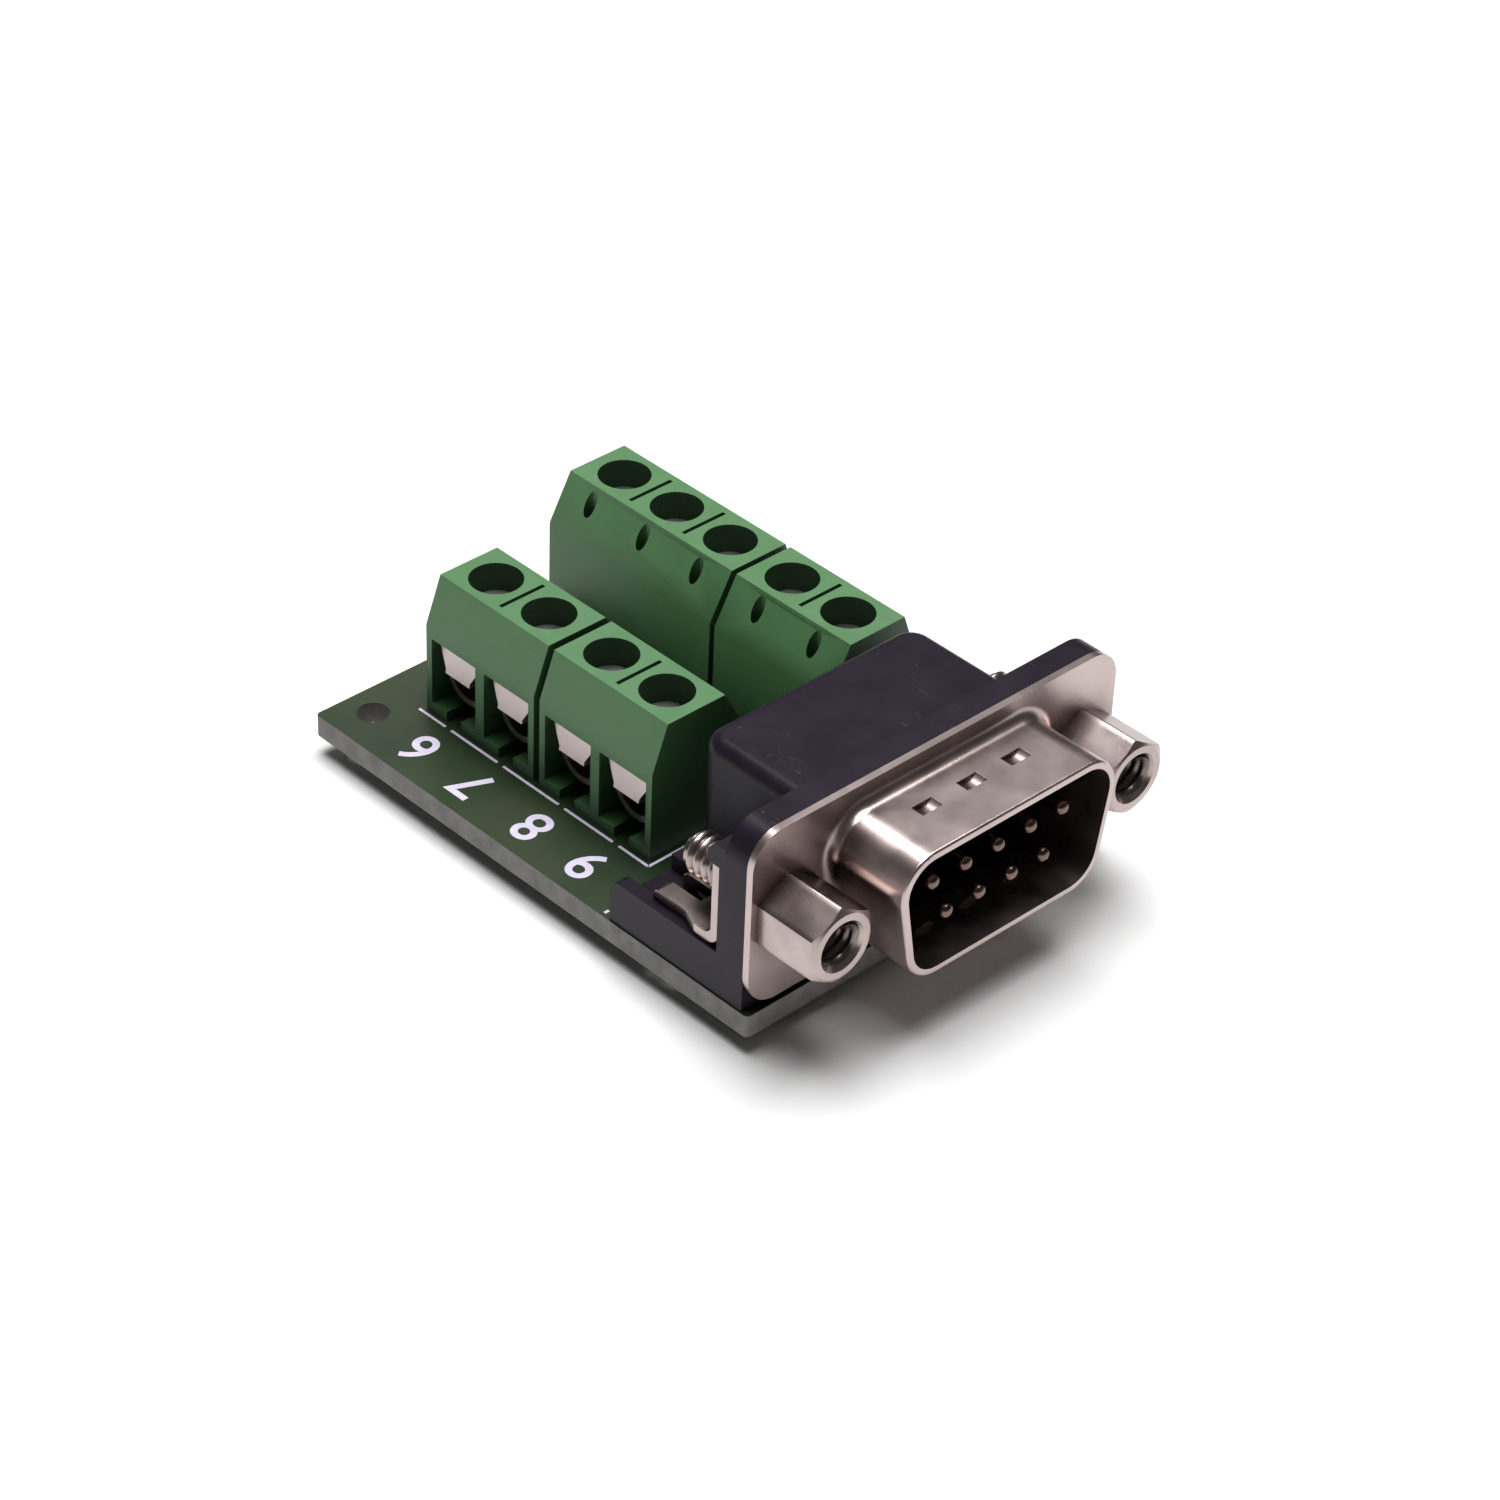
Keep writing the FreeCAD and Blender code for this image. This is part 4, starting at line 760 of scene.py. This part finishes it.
def hexagon_radius(angle):
    """Distance from the axis to the hexagon, worn a little at its corners."""
    within = math.degrees(angle) % 60 - 30
    return min(FLATS / 2 / math.cos(math.radians(within)), CORNER * CORNER_WEAR)


def front_curve(angle):
    """Where the lathe's cone meets the hexagon, as a radius and a place along the axis."""
    radius = hexagon_radius(angle)
    return radius, (radius - FRONT_RADIUS) * FRONT_LEAN - HEAD


print(f"hexagon {FLATS / MM:.2f} mm across its flats and {2 * CORNER / MM:.2f} mm across its corners")

# %% [markdown]
# The head is drawn ring by ring: every ring is the last one's edges pulled on, and each point then
# goes where a function of its angle says. Cutting a bar with booleans would give the same form with
# untidy faces.

# %% Rings round an axis
RING_POINTS = 96


def move_ring(verts, place):
    """Put each point of a ring where place says, from its angle round the Y axis."""
    for vert in verts:
        angle = math.atan2(vert.co.x, vert.co.z)
        radius, along = place(angle)
        vert.co = Vector((radius * math.sin(angle), along, radius * math.cos(angle)))


def first_ring(shape, place):
    """A ring of points round the Y axis; returns its edges."""
    turn_up = Matrix.Rotation(math.radians(90), 4, "X")
    made = bmesh.ops.create_circle(shape, cap_ends=False, segments=RING_POINTS, radius=1, matrix=turn_up)
    move_ring(made["verts"], place)
    return list(shape.edges)


def pull_ring(shape, edges, place):
    """Extend an open ring of edges to where place puts each point; returns the new edges."""
    grown = bmesh.ops.extrude_edge_only(shape, edges=edges)["geom"]
    move_ring([item for item in grown if isinstance(item, bmesh.types.BMVert)], place)
    return [item for item in grown if isinstance(item, bmesh.types.BMEdge)]


print("points in a ring:", RING_POINTS)

# %% [markdown]
# Six rings make the head: the foot, the curve on the flats, the rim of the front face, the mouth of
# the countersink, the bore behind it and its bottom. The foot and the bottom are closed with one
# face each.

# %% Jackscrew head
def jackscrew_head():
    """The hexagonal head with its tapped bore, front at -Y and its foot at y = 0."""
    shape = bmesh.new()
    ring = first_ring(shape, lambda angle: (hexagon_radius(angle), 0))
    bmesh.ops.contextual_create(shape, geom=ring)
    ring = pull_ring(shape, ring, front_curve)
    for radius, along in (
        (FRONT_RADIUS, -HEAD),
        (MOUTH_RADIUS, -HEAD),
        (THREAD_RADIUS, -HEAD + SINK_DEPTH),
        (THREAD_RADIUS, -HEAD + BORE_DEPTH),
    ):
        ring = pull_ring(shape, ring, lambda angle, radius=radius, along=along: (radius, along))
    bmesh.ops.contextual_create(shape, geom=ring)
    bmesh.ops.recalc_face_normals(shape, faces=shape.faces)
    return shape


print(f"head {HEAD / MM:.1f} mm long, bore {BORE_DEPTH / MM:.1f} mm deep")

# %% [markdown]
# The thread is what shows that the jackscrews are screws: outside on the rod and inside in the
# bore. It could be a bump, but its outline is in plain view beside the board lock. So a small ridge
# profile is spun round the axis while it climbs along it by one pitch a turn.

# %% Threads
THREAD_PITCH = 0.635 * MM
THREAD_STEPS = 40
FOOT_SHARE, CREST_SHARE = 0.46, 0.09


def thread_ridge(base, tip, start, end):
    """A thread's ridge round the Y axis, from the radius base to the radius tip."""
    shape = bmesh.new()
    turns = (end - start) / THREAD_PITCH
    points = ((base, -FOOT_SHARE), (tip, -CREST_SHARE), (tip, CREST_SHARE), (base, FOOT_SHARE))
    verts = [shape.verts.new((0, start + share * THREAD_PITCH, radius)) for radius, share in points]
    edges = [shape.edges.new((verts[k], verts[(k + 1) % 4])) for k in range(4)]
    steps = round(turns * THREAD_STEPS)
    bmesh.ops.spin(shape, geom=verts + edges, cent=(0, 0, 0), axis=(0, 1, 0),
                   dvec=(0, THREAD_PITCH / THREAD_STEPS, 0), angle=math.tau * turns, steps=steps,
                   use_merge=False, use_duplicate=False)
    bmesh.ops.holes_fill(shape, edges=shape.edges, sides=4)
    bmesh.ops.recalc_face_normals(shape, faces=shape.faces)
    return shape


print(f"thread pitch {THREAD_PITCH / MM} mm, {THREAD_STEPS} steps a turn")

# %% [markdown]
# The rod under the outer thread is a profile spun once round the axis, which is how a lathe makes it
# too. Its tip is chamfered. The profile begins and ends on the axis, so the solid is closed.

# %% Rod
ROD_END = 8.0 * MM
ROD_RADIUS = 1.18 * MM
TIP_LENGTH, TIP_DEPTH = 0.35 * MM, 0.3 * MM
ROD_FORM = ((0, 0), (ROD_RADIUS, 0), (ROD_RADIUS, ROD_END - TIP_LENGTH), (ROD_RADIUS - TIP_DEPTH, ROD_END),
            (0, ROD_END))


def turned_rod():
    """The rod along the Y axis, from ROD_FORM's radii and places along it."""
    shape = bmesh.new()
    verts = [shape.verts.new((0, along, radius)) for radius, along in ROD_FORM]
    edges = [shape.edges.new(pair) for pair in zip(verts, verts[1:])]
    bmesh.ops.spin(shape, geom=verts + edges, cent=(0, 0, 0), axis=(0, 1, 0), angle=math.tau,
                   steps=RING_POINTS // 2, use_merge=True, use_duplicate=False)
    bmesh.ops.remove_doubles(shape, verts=shape.verts, dist=1e-7)
    bmesh.ops.recalc_face_normals(shape, faces=shape.faces)
    return shape


print(f"rod {2 * ROD_RADIUS / MM:.2f} mm thick, {ROD_END / MM:.1f} mm long")

# %% [markdown]
# Each jackscrew is four pieces that ride together: head, rod, outer thread and tapping. The faces
# of the bore get the darker nickel that paints their shade. Only the head stands for the solid,
# because one piece is enough to take its place.

# %% Jackscrews in place
THREAD_START, THREAD_STOP = 0.3 * MM, ROD_END - 0.6 * MM
TAP_RADIUS = 1.15 * MM
TAP_START, TAP_STOP = 0.3 * MM - HEAD, 3.9 * MM - HEAD
SUNK = 0.02 * MM


def moved(shape, place):
    """Move a shape to its place and hand it back."""
    bmesh.ops.translate(shape, verts=shape.verts, vec=place)
    return shape


for side in ("left", "right"):
    axis = middle(f"jackscrew_{side}")
    place = Vector((axis.x, FACE_Y, axis.z))
    form = moved(jackscrew_head(), place)
    head = settle(f"jackscrew_{side}_head", form, JACK_NICKEL, sharp=28)
    head.data.materials.append(SHADED_BORE_NICKEL)
    for face in head.data.polygons:
        off_axis = Vector((face.center.x - axis.x, face.center.z - axis.z)).length
        behind_sink = face.center.y > FACE_Y - HEAD + SINK_DEPTH / 2
        face.material_index = 1 if behind_sink and off_axis < THREAD_RADIUS + SUNK else 0
    settle(f"jackscrew_{side}_rod", moved(turned_rod(), place), JACK_NICKEL)
    outer = thread_ridge(ROD_RADIUS - SUNK, THREAD_RADIUS, THREAD_START, THREAD_STOP)
    settle(f"jackscrew_{side}_thread", moved(outer, place), JACK_NICKEL, sharp=60)
    inner = thread_ridge(THREAD_RADIUS + SUNK, TAP_RADIUS, TAP_START, TAP_STOP)
    settle(f"jackscrew_{side}_tapping", moved(inner, place), SHADED_BORE_NICKEL, sharp=60)
    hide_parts(f"jackscrew_{side}")
print("jackscrews with cut threads")

# %% [markdown]
# ## Solder
#
# Every contact and every cage has a tail that goes through the board and is soldered below it. The
# solids say where: a cage's tail stands in the axis of its screw, and a contact's tail is the
# rearmost part of the contact.

# %% Tails under the board
CONTACT_TAIL, CAGE_TAIL = 0.38 * MM, 0.5 * MM


def contact_tail(number):
    """Where a contact's tail stands, as x and y; CONTACT_TAIL is its radius."""
    return Vector((middle(f"contact_pin_{number}").x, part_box(f"contact_pin_{number}")[1].y - CONTACT_TAIL))


def tails():
    """The x, y and radius of every tail under the board."""
    found = [(*contact_tail(number), CONTACT_TAIL) for number in POLES]
    found += [(pole_axis[number].x, pole_axis[number].y, CAGE_TAIL) for number in POLES]
    return found


print(len(tails()), "tails")

# %% [markdown]
# Solder climbs each tail and thins out over the pad, so its side is hollow. A short curve spun
# round the tail gives that form. One shape holds all 18 joints, because they are one group.

# %% Solder joints
SHOULDER = 0.30
SOLDER_FORM = ((0.90, 0.0), (0.86, 0.05), (0.70, 0.14), (0.60, SHOULDER), (0.55, 0.50), (0.53, 0.72),
               (0.50, 0.80))
SOLDER_POINTS = 24


def solder_fillets():
    """A hollow-sided cone of solder round each tail; SOLDER_FORM is drawn for the cages' tails."""
    shape = bmesh.new()
    for x, y, radius in tails():
        slim = radius - CAGE_TAIL
        verts = []
        for share, drop in SOLDER_FORM:
            across = share * MM + slim * min(1.0, drop / SHOULDER)
            verts.append(shape.verts.new((x + across, y, BOARD_BOTTOM - drop * MM)))
        edges = [shape.edges.new(pair) for pair in zip(verts, verts[1:])]
        bmesh.ops.spin(shape, geom=verts + edges, cent=(x, y, 0), axis=(0, 0, 1), angle=math.tau,
                       steps=SOLDER_POINTS, use_merge=True, use_duplicate=False)
    bmesh.ops.holes_fill(shape, edges=shape.edges, sides=SOLDER_POINTS)
    bmesh.ops.recalc_face_normals(shape, faces=shape.faces)
    return shape


solder = settle("solder_fillets", solder_fillets(), SOLDER, sharp=50)
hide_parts("solder_joints")
print("solder faces", len(solder.data.polygons))

# %% [markdown]
# ## Tracks under the board
#
# Copper tracks under the lacquer join the plug's upper contacts to terminals 1 to 5. Each runs
# back in its own lane and then at 45 degrees to its terminal, so no two of them cross. The leftmost
# one first steps a little inwards. The other four would run on the upper face, between board and
# housings, where nothing shows them, so they aren't made.

# %% Track routes
TRACK_SHIFT = 4.4 * MM


def track_route(number):
    """The corners of the track from a contact to its terminal."""
    start = contact_tail(number)
    end = Vector((pole_axis[number].x, pole_axis[number].y))
    lane = max(start.x, -TRACK_SHIFT)
    route = [start]
    if lane > start.x:
        route.append(Vector((lane, start.y + lane - start.x)))
    route.append(Vector((lane, end.y - (end.x - lane))))
    route.append(end)
    return route


print("corners in the routes:", [len(track_route(number)) for number in FAR_POLES])

# %% [markdown]
# A track is a strip of one width with mitred corners. It begins as one short edge, which is pulled
# on from corner to corner. Separate straight strips would overlap in the corners and flicker there.

# %% Mitred strips
TRACK_WIDTH = 0.7 * MM


def mitred(route, half):
    """The points on both sides of a bent line, half a width away from it."""
    sides = []
    for index, corner in enumerate(route):
        before = (corner - route[index - 1]).normalized() if index else None
        after = (route[index + 1] - corner).normalized() if index + 1 < len(route) else None
        first, second = before or after, after or before
        first, second = Vector((-first.y, first.x)), Vector((-second.y, second.x))
        across = (first + second) / (1 + first.dot(second)) * half
        sides.append((corner - across, corner + across))
    return sides


def pull_strip(shape, rows):
    """A strip on the board's lower face, pulled on from each pair of points to the next."""
    edges = [shape.edges.new([shape.verts.new((*point, BOARD_BOTTOM)) for point in rows[0]])]
    for here, there in zip(rows, rows[1:]):
        grown = bmesh.ops.extrude_edge_only(shape, edges=edges)["geom"]
        edges = [item for item in grown if isinstance(item, bmesh.types.BMEdge)]
        for vert in edges[0].verts:
            side = min((0, 1), key=lambda index: (vert.co.xy - here[index]).length)
            vert.co = (*there[side], BOARD_BOTTOM)


print(f"tracks {TRACK_WIDTH / MM} mm wide")

# %% [markdown]
# All five strips are one mesh, because they are one layer of copper. It is pulled down by the
# copper's thickness, which gives each track an edge that catches the light.

# %% Tracks
TRACK_THICKNESS = 0.035 * MM


def track_plates():
    """The five tracks as raised strips on the board's lower face."""
    shape = bmesh.new()
    for number in FAR_POLES:
        pull_strip(shape, mitred(track_route(number), TRACK_WIDTH / 2))
    raised = bmesh.ops.extrude_face_region(shape, geom=shape.faces[:])["geom"]
    outer = [item for item in raised if isinstance(item, bmesh.types.BMVert)]
    bmesh.ops.translate(shape, verts=outer, vec=(0, 0, -TRACK_THICKNESS))
    bmesh.ops.recalc_face_normals(shape, faces=shape.faces)
    return shape


settle("tracks_under", track_plates(), COPPER_UNDER)
print("tracks from contacts", FAR_POLES)

# %% [markdown]
# ## Finishes for the solids that stay as they are
#
# The insulator, the contacts, the cages and the screws already have the right form and smooth
# normals from the CAD model, so they only get their finishes.

# %% Finishes of the kept solids
def dress(node, finish):
    """Give a solid its finish and leave its form alone."""
    for holder in nodes[node].material_slots:
        holder.material = finish


dress("dsub_insulator", SHADED_INSULATOR_BLACK)
for number in POLES:
    dress(f"contact_pin_{number}", SHADED_CONTACT)
    dress(f"clamp_cradle_{number}", CAGE_TIN)
    dress(f"terminal_screw_{number}", SCREW_ZINC)
print("kept solids dressed")
